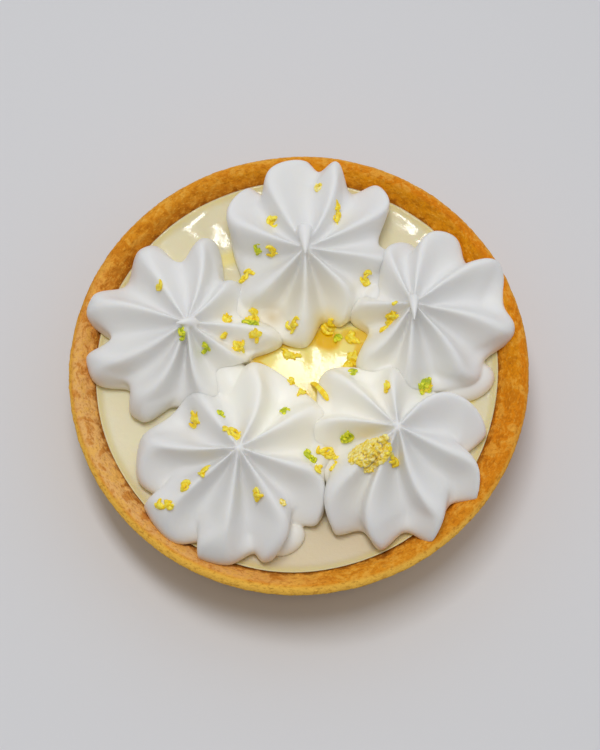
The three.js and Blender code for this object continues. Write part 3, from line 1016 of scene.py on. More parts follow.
@dataclass
class CurdFill:
    """The curd in the shell, with a wavy skin that climbs where it meets the wall."""

    shell: PastryShell
    level: float
    # How far it reaches into the wall's crumb.
    overlap: float = 0.25
    meniscus: float = 0.5
    meniscus_width: float = 1.5
    # The height of its waves where it was stirred, the part of them where it is calm, and where it is stirred along Y.
    wave: float = 0.22
    calm: float = 0.08
    stirred_from: Place = (14, 26)
    steps: int = 540
    spacing: float = 0.36
    swells: Sequence[Swell] = (
        Swell(-16.5, 31.4, 9, 7, 0.75, heading=20),
        Swell(-22.5, 32.0, 16, 2.2, 0.32, heading=30),
        Swell(22, 31.8, 7, 4.5, 0.38, heading=-25),
        Swell(26, 28.6, 5, 4, 0.45, heading=-40),
        Swell(1.8, 4.2, 34, 12, 1.15),
        Swell(2.5, 2.8, 2.4, 4.5, -0.16),
        Swell(14.0, 1.0, 9, 9, 0.9),
        Swell(-9.6, 1.4, 6, 4, 1.1),
    )
    streaks: Sequence[Streak] = (
        Streak((-5.0, 1.0), (10.0, 3.5), 9, 0.45),
        Streak((4.9, 6.2), (6.0, 5.8), 4.4, 1.0),
        # Painted shadow along the front left meringue's edge, as well as syrup.
        Streak((-8.6, 1.2), (1.4, -5.4), 1.6, 0.85),
        Streak((-8.6, 2.0), (-3.0, 5.6), 2.2, 0.85),
        Streak((-3.2, 5.2), (2.4, 5.8), 2.6, 0.85),
        Streak((9.5, 7.0), (13.2, 6.8), 2.8, 0.8),
        Streak((12.2, 4.4), (11.4, 0.8), 2.6, 0.85),
        Streak((3.2, -3.2), (4.4, -8.4), 2.4, 0.5),
        Streak((31.5, -8.6), (36.6, -2.8), 1.4, 0.35),
        Streak((-17.5, 22.4), (-9.5, 25.0), 2.6, 0.3),
    )
    finish: SetCurd = field(default_factory=SetCurd)

    # The sizes of its broad and its narrow waves, the narrow ones' part, and the height where the broad ones are read.
    BROAD = 6
    NARROW = 2.6
    NARROW_PART = 0.5
    BROAD_Z = 3.1
    # How far from the wall its shade fades, and the way in which its finish gets calmer, over these distances.
    SHORE_FADE = (0.1, 1.5)
    CALM_WAY = (-0.6, -0.8)
    CALM_FROM = (-4, 16)

    def build(self) -> bpy.types.Object:
        """Turns the curd, moves its skin and paints what its finish reads.

        Returns:
            The curd.
        """
        bottom = self.shell.floor
        fillet = self.shell.fillet
        wall = self.shell.wall - self.overlap
        rim = self.shell.outer(self.level) - wall
        profile = [(0.0, bottom), (self.shell.outer(bottom) - wall - fillet, bottom)]
        profile += [(self.shell.outer(bottom + fillet) - wall, bottom + fillet), (rim, self.level)]
        rings = round(rim / self.spacing)
        profile += [(rim * (1 - i / rings), self.level) for i in range(1, rings + 1)]
        form = turned(profile, self.steps)
        for vert in form.verts:
            azimuth = math.degrees(math.atan2(vert.co.y, vert.co.x))
            outwards = self.shell.loss(azimuth) + self.shell.stretch(azimuth)
            vert.co += polar(outwards * smooth(vert.co.xy.length, *self.shell.UNEVEN_FROM), azimuth)
            if vert.co.z > self.level - HAIR:
                vert.co.z += self.skin(vert.co)
        curd = finished("set_lemon_curd", form)
        painted(curd, "syrup", lambda place: max(streak.at(place.x, place.y) for streak in self.streaks))
        painted(curd, "shore", lambda place: 1 - smooth(self.off_shore(place), *self.SHORE_FADE))
        painted(curd, "calm", lambda place: smooth(place.xy.dot(self.CALM_WAY), *self.CALM_FROM))
        curd.data.materials.append(self.finish.material())
        ride(curd, "curd", "lemon_curd")
        return curd

    def off_shore(self, place: Vector) -> float:
        """How far a place is from the wall."""
        azimuth = math.degrees(math.atan2(place.y, place.x))
        return self.shell.inner(self.level, azimuth) - place.xy.length

    def skin(self, place: Vector) -> float:
        """How far the skin stands above its level.

        Args:
            place: The place on its level.

        Returns:
            The rise of the meniscus, the waves and the swells there.
        """
        climb = self.meniscus * max(0.0, 1 - self.off_shore(place) / self.meniscus_width) ** 2
        waves = noise.noise(Vector((place.x / self.BROAD, place.y / self.BROAD, self.BROAD_Z)))
        waves += self.NARROW_PART * noise.noise(place / self.NARROW)
        stirred = mix(self.calm, 1, smooth(place.y, *self.stirred_from))
        piled = sum(swell.lift(place.x, place.y) for swell in self.swells)
        return climb + self.wave * stirred * waves + piled


# ---------------------------------------------------------------- meringues


@dataclass(frozen=True)
class Ridge:
    """A crest of a piped star, `reach` from the tip at the hem.

    It leaves the tip at azimuth + lead, swings to azimuth at the shoulder and to azimuth + hook at the hem, where
    `blunt` rounds it, from 0, a knife edge, upwards. The valley after it is deepest at `lean` of the way to the next
    ridge, and at `tuck` of the way in the hem. There the spread foot fills the part `fill` of it, and its notch is
    narrow where `notch` is above 1.
    """

    azimuth: float
    reach: float
    hook: float = 0.0
    lead: float = 0.0
    blunt: float = 0.12
    fill: float = 0.0
    notch: float = 1.3
    lean: float = 0.5
    tuck: float = 0.5


@dataclass(frozen=True)
class Peak:
    """The point that the nozzle pulled up as it left.

    It starts `back` behind the tip, at `tilt` from upright, and droops over to its heading.
    """

    length: float
    radius: float
    heading: float
    tilt: float = 15.0
    back: float = 0.0


@dataclass(frozen=True)
class Blob:
    """A soft lump beside a star: where the meringue ran over or the nozzle started."""

    x: float
    y: float
    z: float
    length: float
    width: float
    height: float
    heading: float = 0.0


@dataclass(frozen=True)
class Pinch:
    """A pinch of zest at an azimuth and a distance from a tip, spread over length by width along a heading.

    `scale` sizes its shreds against the usual, and `crowd` their number. A strip is one long shred.
    """

    azimuth: float
    distance: float
    length: float
    heading: float
    width: float = 1.3
    fruit: Fruit = Fruit.LEMON
    scale: float = 1.0
    crowd: float = 1.0
    strip: bool = False


@dataclass
class PipedStar:
    """A meringue piped with an open star nozzle."""

    node: str
    name: str
    tip: Place
    height: float
    ridges: Sequence[Ridge]
    peak: Peak | None = None
    blobs: Sequence[Blob] = ()
    pressed_by: Sequence[str] = ()
    zest: Sequence[Pinch] = ()
    columns_per_ridge: int = 24
    rows: int = 72
    grain: float = 0.265
    softness: int = 3
    sunk: float = 0.4

    # Where a crest and the valley beside it lie from the hem up to the tip, as part of the reach and of the height.
    CREST = (
        (0.89, 0.0), (0.98, 0.06), (1.0, 0.16), (0.975, 0.32), (0.905, 0.48), (0.8, 0.6),
        (0.65, 0.69), (0.45, 0.775), (0.25, 0.87), (0.1, 0.955), (0.03, 1.0),
    )
    VALLEY = (
        (0.75, 0.0), (0.795, 0.05), (0.8, 0.12), (0.765, 0.2), (0.7, 0.28), (0.6, 0.355),
        (0.475, 0.43), (0.325, 0.54), (0.18, 0.69), (0.08, 0.86), (0.025, 0.97),
    )
    # The stretches of the crest's height over which these fade in or out.
    FOOT = (0.22, 0.5)
    SHOULDER = (0.14, 0.68)
    CROWN = (0.5, 0.85)
    # How far apart two crests are where the valley has its usual depth, in degrees, and the bounds of that depth.
    EVEN_SPAN = 44.0
    SPAN_DEPTHS = (0.55, 1.25)
    # The depth past which a valley sinks no further, and how alike the ridges' reaches become at the tip.
    DEEPEST_VALLEY = 1.15
    CROWN_EVENNESS = 0.55
    # How round and how narrow a ridge is above the shoulder.
    RIB = (0.45, 1.05)
    # The rows of faces of the flat foot and of the tip.
    FOOT_ROWS = 2
    TIP_ROWS = 1
    # The peak's faces along and round it, the part of the star's height that it starts from, how far from upright it
    # droops in degrees, and how its droop and its radius change along it.
    PEAK_RINGS = 24
    PEAK_SIDES = 24
    PEAK_ROOT = 0.9
    DROOP = 100
    DROOP_POWER = 0.8
    TAPER_POWER = 0.75
    # A lump's faces round and up.
    LUMP_FACES = (32, 20)

    def wave(self, way: float, blunt: float, notch: float) -> float:
        """0 on a crest and 1 where the valley is deepest, halfway along the way from crest to crest."""
        away = math.sin(math.pi * min(way, 1 - way))
        return ((math.hypot(away, blunt) - blunt) / (math.hypot(1, blunt) - blunt)) ** notch

    def point(self, turn: float, rise: float, base: float) -> Vector:
        """A point of the star's skin.

        Args:
            turn: How far round, from 0 to 1.
            rise: How far up, from 0 at the hem to 1 at the tip.
            base: The height of the hem.

        Returns:
            The point.
        """
        (crest_r, crest_z), (valley_r, valley_z) = along(self.CREST, rise), along(self.VALLEY, rise)
        foot = 1 - smooth(crest_z, *self.FOOT)
        below_shoulder = 1 - smooth(crest_z, *self.SHOULDER)
        crown = smooth(crest_z, *self.CROWN)
        count = len(self.ridges)
        mean = sum(ridge.reach for ridge in self.ridges) / count
        place = turn * count
        start, end = self.ridges[int(place) % count], self.ridges[(int(place) + 1) % count]
        way = place % 1
        lean = mix(start.lean, start.tuck, below_shoulder)
        part = 2 * way * lean if way < 0.5 else mix(lean, 1, 2 * way - 1)
        full_turn = 360 if end.azimuth < start.azimuth else 0
        first, second = (r.azimuth + r.hook * below_shoulder + r.lead * crown for r in (start, end))
        azimuth = mix(first, second + full_turn, part)
        soft = smooth(part)
        reach = mix(mix(start.reach, end.reach, soft), mean, self.CROWN_EVENNESS * smooth(crest_z, self.CROWN[0], 1))
        shallowest, deepest = self.SPAN_DEPTHS
        span = min(max((end.azimuth + full_turn - start.azimuth) / self.EVEN_SPAN, shallowest), deepest)
        blunt = mix(self.RIB[0], mix(start.blunt, end.blunt, soft), below_shoulder)
        notch = mix(self.RIB[1], start.notch, below_shoulder)
        depth = self.wave(way, blunt, notch) * span * (1 - start.fill * foot)
        skin = polar(reach * mix(crest_r, valley_r, depth), azimuth)
        z = base + self.height * mix(crest_z, valley_z, min(depth, self.DEEPEST_VALLEY))
        return Vector((self.tip[0] + skin.x, self.tip[1] + skin.y, z))

    def star(self, base: float) -> bmesh.types.BMesh:
        """The ridged body, closed at its tip and by a flat foot.

        Args:
            base: The height of the curd that it stands on.

        Returns:
            The closed bmesh, in millimetres.
        """
        inner = self.FOOT_ROWS / self.rows

        def surface(turn: float, rise: float) -> Vector:
            """The body's skin.

            Args:
                turn: How far round, from 0 to 1.
                rise: How far up, from 0 in the foot's middle to 1 at the tip.

            Returns:
                The point.
            """
            if rise >= 1 - SLIVER:
                return Vector((*self.tip, base + self.height))
            if rise < SLIVER:
                return Vector((*self.tip, base - self.sunk))
            if rise < inner - SLIVER:
                hem = self.point(turn, 0, base)
                hem.z = base - self.sunk
                return hem
            return self.point(turn, (rise - inner) / (1 - self.TIP_ROWS / self.rows - inner), base)

        return wrapped(self.columns_per_ridge * len(self.ridges), self.rows, surface)

    def drooping_peak(self, base: float) -> bmesh.types.BMesh:
        """The peak: a tapering horn that bends from upright to its heading.

        Args:
            base: The height of the curd that the star stands on.

        Returns:
            The closed bmesh, in millimetres.
        """
        peak, rings = self.peak, self.PEAK_RINGS
        heading = polar(1, peak.heading)
        side = UP.cross(heading)
        root = Vector((*self.tip, base + self.height * self.PEAK_ROOT)) - heading * (peak.radius + peak.back)
        frames = []
        middle = root
        for ring in range(rings + 1):
            part = ring / rings
            tilt = math.radians(mix(peak.tilt, self.DROOP, part**self.DROOP_POWER))
            direction = UP * math.cos(tilt) + heading * math.sin(tilt)
            if ring:
                middle = middle + direction * (peak.length / rings)
            frames.append((middle, side.cross(direction), peak.radius * (1 - part) ** self.TAPER_POWER))

        def surface(turn: float, rise: float) -> Vector:
            """The horn's skin.

            Args:
                turn: How far round, from 0 to 1.
                rise: How far along, from 0 at its root to 1 at its point.

            Returns:
                The point.
            """
            if rise < SLIVER:
                return root
            middle, across, radius = frames[min(round(rise * (rings + 1)) - 1, rings)]
            angle = math.tau * turn
            return middle + side * radius * math.cos(angle) + across * radius * math.sin(angle)

        return wrapped(self.PEAK_SIDES, rings + 1, surface)

    def lump(self, blob: Blob, base: float) -> bmesh.types.BMesh:
        """A soft lump, as an egg-shaped form.

        Args:
            blob: The lump.
            base: The height of the curd that the star stands on.

        Returns:
            The closed bmesh, in millimetres.
        """
        form = bmesh.new()
        columns, rows = self.LUMP_FACES
        bmesh.ops.create_uvsphere(form, u_segments=columns, v_segments=rows, radius=0.5)
        bmesh.ops.scale(form, vec=(blob.length, blob.width, blob.height), verts=form.verts)
        turn_form(form, blob.heading)
        bmesh.ops.translate(form, vec=(blob.x, blob.y, base + blob.z), verts=form.verts)
        return form

    def build(self, base: float, finish: bpy.types.Material) -> bpy.types.Object:
        """Fuses the body, its peak and its lumps into one soft skin.

        Args:
            base: The height of the curd that it stands on.
            finish: The material of all meringues.

        Returns:
            The piece, not yet pressed by its neighbours.
        """
        body = self.star(base)
        parts = [self.lump(blob, base) for blob in self.blobs]
        if self.peak:
            parts.append(self.drooping_peak(base))
        for part in parts:
            add_form(body, part)
        piece = finished(self.name, body)
        fuse(piece, self.grain, self.softness)
        piece.data.materials.append(finish)
        return piece


FAR_STAR = PipedStar(
    node="meringue_1",
    name="far_meringue",
    tip=(1.2, 19.8),
    height=14.6,
    peak=Peak(length=6.5, radius=1.6, heading=-88, tilt=45, back=2.7),
    pressed_by=("right_meringue",),
    blobs=(Blob(-10.6, 13.0, 0.5, 11, 7, 8.5, heading=112), Blob(14.6, 13.6, 0.5, 10, 7, 8.5, heading=60)),
    ridges=(
        Ridge(0, 18.0, hook=12, lead=2, blunt=0.3, fill=-0.15, lean=0.65, tuck=0.25),
        Ridge(34, 23.5, hook=18, lead=-2, blunt=0.4, lean=0.6, tuck=0.43),
        Ridge(74, 24.4, hook=1, lead=-9, blunt=0.12, fill=0.45, notch=1.6, lean=0.35, tuck=0.44),
        Ridge(113, 24.0, hook=-22, lead=3, blunt=0.9, fill=0.2, notch=1.5, lean=0.38, tuck=0.8),
        Ridge(150, 21.3, hook=-28, lead=2, blunt=0.3, fill=0.1, notch=1, lean=0.33, tuck=0.68),
        Ridge(219, 14.9, hook=-10, lead=2, blunt=0.6, fill=0.9, lean=0.4),
        Ridge(268, 15.9, lead=2, blunt=0.3, tuck=0.57),
        Ridge(320, 13.4, hook=-17, lead=3, blunt=0.3, fill=0.6, lean=0.6),
    ),
    zest=(
        Pinch(81, 16.5, 1.6, 60, fruit=Fruit.PALE_LEMON, scale=0.8),
        Pinch(60, 12.2, 5.5, 85, width=1.2),
        Pinch(126, 10.6, 3.0, 150, width=1.2),
        Pinch(163, 9.5, 1.6, 110, width=1.1, fruit=Fruit.LIME),
        Pinch(162, 6.8, 2.4, 10, width=1.2),
        Pinch(189, 11.4, 3.3, 35, width=2.0),
        Pinch(349, 12.3, 2.4, 20, width=1.8),
        Pinch(260, 13.3, 3.0, 60, width=2.0),
        Pinch(293, 12.3, 3.4, 100, width=2.2),
        Pinch(295, 14.8, 2.2, 40, width=1.3, fruit=Fruit.LIME),
    ),
)

RIGHT_STAR = PipedStar(
    node="meringue_2",
    name="right_meringue",
    tip=(21.9, 8.3),
    height=14.6,
    peak=Peak(length=7, radius=1.2, heading=-90),
    pressed_by=("front_right_meringue",),
    ridges=(
        Ridge(-10, 20.4, hook=8, lead=7, blunt=0.6, fill=0.56, lean=0.62, tuck=0.42),
        Ridge(38, 22.0, hook=-2, lead=5, blunt=0.15, lean=0.45, tuck=0.43),
        Ridge(79, 20.9, hook=-14, lead=4, blunt=0.5, fill=-0.1),
        Ridge(109, 17.4, hook=-17, lead=1, blunt=0.6, fill=-0.3, tuck=0.3),
        Ridge(168, 12.2, hook=2, blunt=0.3, fill=-0.35, lean=0.35, tuck=0.39),
        Ridge(224, 13.9, hook=-2, lead=8, blunt=0.25, fill=0.4),
        Ridge(266, 14.2, lead=-1, blunt=0.25, fill=0.6, lean=0.6),
        Ridge(308, 17.5, hook=10, lead=8, blunt=0.4, fill=0.25, lean=0.6, tuck=0.45),
    ),
    blobs=(
        Blob(32.6, -2.8, 0.8, 11.5, 7.8, 5.6, heading=20),
        Blob(18.0, -2.4, 0.5, 14, 7, 8.5, heading=-15),
    ),
    zest=(
        Pinch(183, 4.0, 3.4, 65, width=2.2),
        Pinch(208, 6.3, 2.4, 60, width=1.1),
        Pinch(280, 13.2, 3.4, 10, width=2.6, fruit=Fruit.LIME),
        Pinch(281, 13.6, 3.0, 40, width=2.0),
    ),
)

LEFT_STAR = PipedStar(
    node="meringue_3",
    name="left_meringue",
    tip=(-21.4, 4.6),
    height=14.2,
    peak=Peak(length=4.5, radius=1.2, heading=195),
    pressed_by=("far_meringue",),
    ridges=(
        Ridge(0, 18.2, hook=1, lead=5, blunt=0.35, fill=0.24, tuck=0.57),
        Ridge(55, 15.6, hook=-3, lead=-4, blunt=0.25, fill=-0.3, tuck=0.36),
        Ridge(84, 22.3, hook=-4, lead=-8, blunt=0.5, fill=-0.7, notch=2.4, lean=0.38, tuck=0.44),
        Ridge(119, 22.1, hook=-4, blunt=0.6, fill=0.05, lean=0.45, tuck=0.53),
        Ridge(161, 21.6, hook=-7, lead=-7, blunt=0.5, fill=-0.55, notch=4, lean=0.38, tuck=0.58),
        Ridge(201, 20.4, hook=-6, lead=8, blunt=0.5, fill=-0.45, notch=3, lean=0.4, tuck=0.53),
        Ridge(236, 18.3, hook=4, lead=13, blunt=0.4, fill=-0.1, lean=0.55, tuck=0.35),
        Ridge(284, 14.5, hook=2, lead=-8, blunt=0.3, fill=-0.6, tuck=0.7),
        Ridge(331, 12.6, hook=14, blunt=0.3, fill=0.8),
    ),
    zest=(
        Pinch(121, 10.8, 2.7, 95, width=0.8),
        Pinch(246, 2.3, 2.0, 95, width=1.3, fruit=Fruit.LIME),
        Pinch(315, 4.9, 2.0, 80, width=1.1, fruit=Fruit.LIME),
        Pinch(29, 8.4, 2.8, 120, width=2.0),
        Pinch(22, 13.3, 2.8, 70, width=2.0),
        Pinch(9, 12.0, 3.6, 160, width=1.2, fruit=Fruit.LIME),
        Pinch(354, 7.3, 1.4, 45, width=1.1),
        Pinch(347, 9.8, 3.0, 10, width=2.4),
        Pinch(357, 13.0, 2.8, 60, width=2.2),
    ),
)

FRONT_LEFT_STAR = PipedStar(
    node="meringue_4",
    name="front_left_meringue",
    tip=(-11.3, -20.7),
    height=14.6,
    pressed_by=("left_meringue", "front_right_meringue"),
    ridges=(
        Ridge(-11, 18.6, hook=-25, lead=-1, blunt=0.3, fill=0.3),
        Ridge(36, 19.6, blunt=0.3, fill=0.85),
        Ridge(82, 21.3, lead=-14, blunt=0.3, fill=0.2),
        Ridge(122, 17.6, lead=1, blunt=0.3, fill=0.6),
        Ridge(170, 20.0, hook=-4, lead=6, blunt=0.5, fill=0.2, notch=8, lean=0.3, tuck=0.92),
        Ridge(218, 19.9, hook=-13, lead=-2, blunt=0.5, fill=0.1, notch=8, lean=0.28, tuck=0.93),
        Ridge(260, 19.6, hook=-12, lead=2, blunt=0.9, fill=0.4, notch=5, lean=0.36, tuck=0.8),
        Ridge(304, 19.4, hook=-17, lead=2, blunt=0.1, fill=-0.25, notch=1.6, tuck=0.6),
    ),
    blobs=(
        Blob(-13.3, -3.2, 1, 10.3, 8.1, 9.5, heading=95),
        Blob(-2.4, -34.6, 0.4, 8, 5.5, 4.4, heading=35),
        Blob(4.2, -14.5, 0.5, 15, 7.5, 8.5, heading=93),
    ),
    zest=(
        Pinch(137, 11.9, 2.8, 60, width=2.2),
        Pinch(112, 9.1, 1.8, 110, width=1.2, fruit=Fruit.LIME),
        Pinch(109, 3.8, 4.2, 160, width=2.2),
        Pinch(209, 7.3, 2.8, 75, width=1.3),
        Pinch(212, 11.8, 2.2, 40, width=1.2),
        Pinch(215, 16.5, 5.0, 170, width=1.4),
        Pinch(296, 8.5, 2.2, 110, width=1.4),
        Pinch(312, 12.2, 1.2, 80, width=0.9, fruit=Fruit.PALE_LEMON, scale=0.8),
        Pinch(49, 13.2, 1.5, 60, width=1.0, fruit=Fruit.LIME),
    ),
)

FRONT_RIGHT_STAR = PipedStar(
    node="meringue_5",
    name="front_right_meringue",
    tip=(18.6, -16.5),
    height=14.6,
    ridges=(
        Ridge(-19, 18.7, hook=-16, lead=-2, blunt=0.12, fill=-0.4, notch=1, lean=0.55, tuck=0.45),
        Ridge(32, 17.8, hook=-23, lead=20, blunt=0.14, fill=0.3),
        Ridge(93, 15.6, lead=2, blunt=0.25, fill=0.8),
        Ridge(133, 20.2, lead=-3, blunt=0.4, fill=0.6),
        Ridge(168, 17.0, hook=2, lead=-6, blunt=0.25, fill=0.1, notch=1, lean=0.35, tuck=0.6),
        Ridge(222, 21.0, hook=14, blunt=0.12, fill=-0.1, lean=0.6),
        Ridge(250, 20.8, hook=11, lead=-6, blunt=0.15, fill=0.2, lean=0.62),
        Ridge(297, 20.2, hook=-8, lead=-13, blunt=0.12, notch=0.9, lean=0.62, tuck=0.6),
    ),
    zest=(
        Pinch(99, 10.0, 2.5, 100, width=1.4),
        Pinch(176, 9.6, 2.5, 30, width=1.8, fruit=Fruit.LIME),
        Pinch(217, 6.6, 8.6, 5, width=6.6, fruit=Fruit.PALE_LEMON, scale=0.7, crowd=1.8),
        Pinch(240, 5.2, 3.6, 80, width=1.6),
        Pinch(258, 5.1, 2.6, 30, width=1.6),
        Pinch(188, 12.9, 4.4, 160, width=1.9),
        Pinch(189, 16.6, 3.6, 135, width=0.9, fruit=Fruit.LIME),
        Pinch(202, 15.9, 3.8, 80, width=1.4),
        Pinch(203, 13.1, 2.2, 60, width=1.3),
    ),
)


@dataclass
class MeringueRing:
    """The five piped stars, in the order in which they give way to each other."""

    base: float
    stars: Sequence[PipedStar] = (FRONT_RIGHT_STAR, RIGHT_STAR, FAR_STAR, LEFT_STAR, FRONT_LEFT_STAR)
    finish: WhippedMeringue = field(default_factory=WhippedMeringue)

    def build(self) -> list[bpy.types.Object]:
        """Builds each star and presses it by the ones that were piped after it.

        Returns:
            The pieces.
        """
        material = self.finish.material()
        pieces = {star.name: star.build(self.base, material) for star in self.stars}
        for star in self.stars:
            for name in star.pressed_by:
                cut(pieces[star.name], pieces[name])
            ride(pieces[star.name], "meringue", star.node)
        return list(pieces.values())


# ---------------------------------------------------------------- zest


@dataclass
class GratedZest:
    """Curled shreds of rind, scattered by pinches over the meringues and the open curd."""

    length: Place = (1.2, 2.3)
    width: Place = (0.6, 0.9)
    thickness: float = 0.3
    # How many shreds of the usual size lie on a square millimetre, and how high they heap up against a pinch's width.
    density: float = 2.0
    heap: float = 0.13
    seed: int = 7
    on_curd: Sequence[Pinch] = (
        Pinch(122, 3.2, 4.4, 172, width=1.5),
        Pinch(30, 12.5, 3.6, 150, width=2.2),
        Pinch(9, 10.5, 4.2, 82, width=2.2),
        Pinch(348, 10.6, 1.4, 60, width=0.9, fruit=Fruit.LIME),
        Pinch(307, 6.7, 6.0, 121, width=1.0, strip=True),
        Pinch(249, 4.0, 2.6, 145, width=0.7),
        Pinch(278, 5.9, 3.0, 62, width=1.1),
    )

    # The bounds of a shred's curl and arch, as part of its length, of its twist either way, in radians, and of the
    # raggedness of its width and its thickness.
    CURLS = (-0.45, 0.45)
    ARCHES = (-0.3, 0.35)
    TWISTS = (-0.7, 0.7)
    RAGGED_WIDTHS = (0.75, 1.2)
    RAGGED_THICKNESSES = (0.8, 1.2)
    # How much narrower it is at its ends.
    END_TAPER = 0.45
    # Its faces along it, and how round they are made.
    FACES = 4
    ROUNDNESS = 0.5
    # Where a strip's height over the ground is read, from its one end to the other.
    FEELERS = (-1.0, -0.5, 0.0, 0.5, 1.0)
    # How shreds keep to a pinch's middle, the fewest of them, how much shorter and narrower than the pinch the patch
    # of their middles is, and the smallest that it can be.
    GATHERING = 0.6
    FEWEST = 3
    PATCH_LESS = (1.0, 0.5)
    PATCH_LEAST = (0.2, 0.15)
    # How far a shred turns from its pinch's heading and tilts either way, in degrees, how much more upright than the
    # ground it lies, and how far it stands off.
    TURNS = (-75, 75)
    TILTS = (-20, 20)
    UPRIGHT = 0.15
    STAND_OFF = 0.1

    def shred(self, dice: random.Random, length: float, width: float, straight: bool = False) -> bmesh.types.BMesh:
        """One shred about its own middle: a thin strip, ragged, curled and twisted.

        Args:
            dice: The source of chance.
            length: Its length.
            width: Its width.
            straight: Whether it is neither curled nor twisted.

        Returns:
            Its bmesh, in millimetres.
        """
        form = bmesh.new()
        bmesh.ops.create_grid(form, x_segments=self.FACES, y_segments=1, size=0.5)
        curl, arch, twist = (dice.uniform(*bounds) for bounds in (self.CURLS, self.ARCHES, self.TWISTS))
        if straight:
            curl = arch = twist = 0.0
        for vert in form.verts:
            part = vert.co.x * 2
            y = vert.co.y * width * (1 - self.END_TAPER * abs(part) ** 3) * dice.uniform(*self.RAGGED_WIDTHS)
            angle = twist * part
            bow = curl * length * (1 - part * part)
            lift = arch * length * (1 - part * part)
            vert.co = Vector((part * length / 2, y * math.cos(angle) + bow, y * math.sin(angle) + lift))
        bmesh.ops.recalc_face_normals(form, faces=form.faces)
        thickness = self.thickness * dice.uniform(*self.RAGGED_THICKNESSES)
        bmesh.ops.solidify(form, geom=form.faces, thickness=thickness)
        bmesh.ops.subdivide_edges(form, edges=form.edges, cuts=1, use_grid_fill=True, smooth=self.ROUNDNESS)
        return form

    def strip(self, pinch: Pinch, middle: Vector, ground: BVHTree, dice: random.Random) -> bmesh.types.BMesh:
        """One long straight shred that leans on what lies under it, in its place.

        Args:
            pinch: The pinch that it stands for.
            middle: Where its middle is, seen from above.
            ground: What it leans on, in metres.
            dice: The source of chance.

        Returns:
            Its bmesh, in millimetres.
        """
        end = polar(pinch.length / 2, pinch.heading)
        heights = [under(middle + end * part, ground)[0].z for part in self.FEELERS]
        mean, slope = (heights[0] + heights[-1]) / 2, (heights[-1] - heights[0]) / 2
        arch = max(height - mean - slope * part for height, part in zip(heights, self.FEELERS)) + self.thickness
        form = self.shred(dice, pinch.length, pinch.width, straight=True)
        for vert in form.verts:
            part = vert.co.x * 2 / pinch.length
            vert.co.z += mean + slope * part + arch * (1 - part * part) + self.thickness
        turn_form(form, pinch.heading)
        bmesh.ops.translate(form, vec=middle, verts=form.verts)
        return form

    def spots(self, pinch: Pinch, dice: random.Random) -> list[tuple[Vector, float]]:
        """Where a pinch's shreds fall.

        Args:
            pinch: The pinch.
            dice: The source of chance.

        Returns:
            The place of each from the pinch's middle, with how near to the middle it is, from 0 to 1.
        """
        if pinch.strip:
            return [(Vector((0, 0, 0)), 0.0)]
        area = math.pi / 4 * pinch.length * pinch.width
        count = max(self.FEWEST, round(self.density * pinch.crowd * area / pinch.scale**2))
        sides = zip((pinch.length, pinch.width), self.PATCH_LESS, self.PATCH_LEAST)
        patch = Vector((*(max(side - less, least) / 2 for side, less, least in sides), 0))
        heading = Matrix.Rotation(math.radians(pinch.heading), 3, "Z")
        spots = []
        for _ in range(count):
            away = dice.random() ** self.GATHERING
            place = polar(away, dice.uniform(0, 360)) * patch
            place.rotate(heading)
            spots.append((place, 1 - away))
        return spots

    def scatter(self, pinch: Pinch, tip: Place, ground: BVHTree, dice: random.Random, heap: bmesh.types.BMesh) -> None:
        """Adds a pinch's shreds to a heap.

        Args:
            pinch: The pinch.
            tip: The place that its azimuth and distance start from.
            ground: What it falls on, in metres.
            dice: The source of chance.
            heap: The bmesh, in millimetres, that gathers this fruit's shreds.
        """
        middle = polar(pinch.distance, pinch.azimuth) + Vector((*tip, 0))
        for offset, nearness in self.spots(pinch, dice):
            landed = under(middle + offset, ground)
            if not landed:
                continue
            if pinch.strip:
                form = self.strip(pinch, middle, ground, dice)
            else:
                place, normal = landed
                length, width = (dice.uniform(*sizes) * pinch.scale for sizes in (self.length, self.width))
                form = self.shred(dice, length, width)
                turn, tilt = pinch.heading + dice.uniform(*self.TURNS), dice.uniform(*self.TILTS)
                lean = UP.rotation_difference(normal.lerp(UP, self.UPRIGHT).normalized())
                raised = self.STAND_OFF + self.heap * pinch.width * nearness * dice.random()
                turn_form(form, tilt, "Y")
                turn_form(form, turn)
                bmesh.ops.rotate(form, matrix=lean.to_matrix(), verts=form.verts)
                bmesh.ops.translate(form, vec=place + normal * raised, verts=form.verts)
            add_form(heap, form)

    def build(self, stars: Sequence[PipedStar], carriers: Sequence[bpy.types.Object]) -> None:
        """Scatters every pinch and makes one piece for each fruit.

        Args:
            stars: The stars whose pinches are scattered about their tips.
            carriers: The finished pieces that zest can lie on.
        """
        ground = bmesh.new()
        for carrier in carriers:
            ground.from_mesh(carrier.data)
        tree = BVHTree.FromBMesh(ground)
        dice = random.Random(self.seed)
        heaps = {fruit: bmesh.new() for fruit in Fruit}
        pinches = [(pinch, star.tip) for star in stars for pinch in star.zest]
        pinches += [(pinch, (0.0, 0.0)) for pinch in self.on_curd]
        for pinch, tip in pinches:
            self.scatter(pinch, tip, tree, dice, heaps[pinch.fruit])
        ground.free()
        for fruit, heap in heaps.items():
            name = fruit.name.lower()
            shreds = finished(f"{name}_shreds", heap)
            shreds.data.materials.append(fruit.value.material(f"{name}_zest"))
            ride(shreds, "meringue")


# ---------------------------------------------------------------- studio


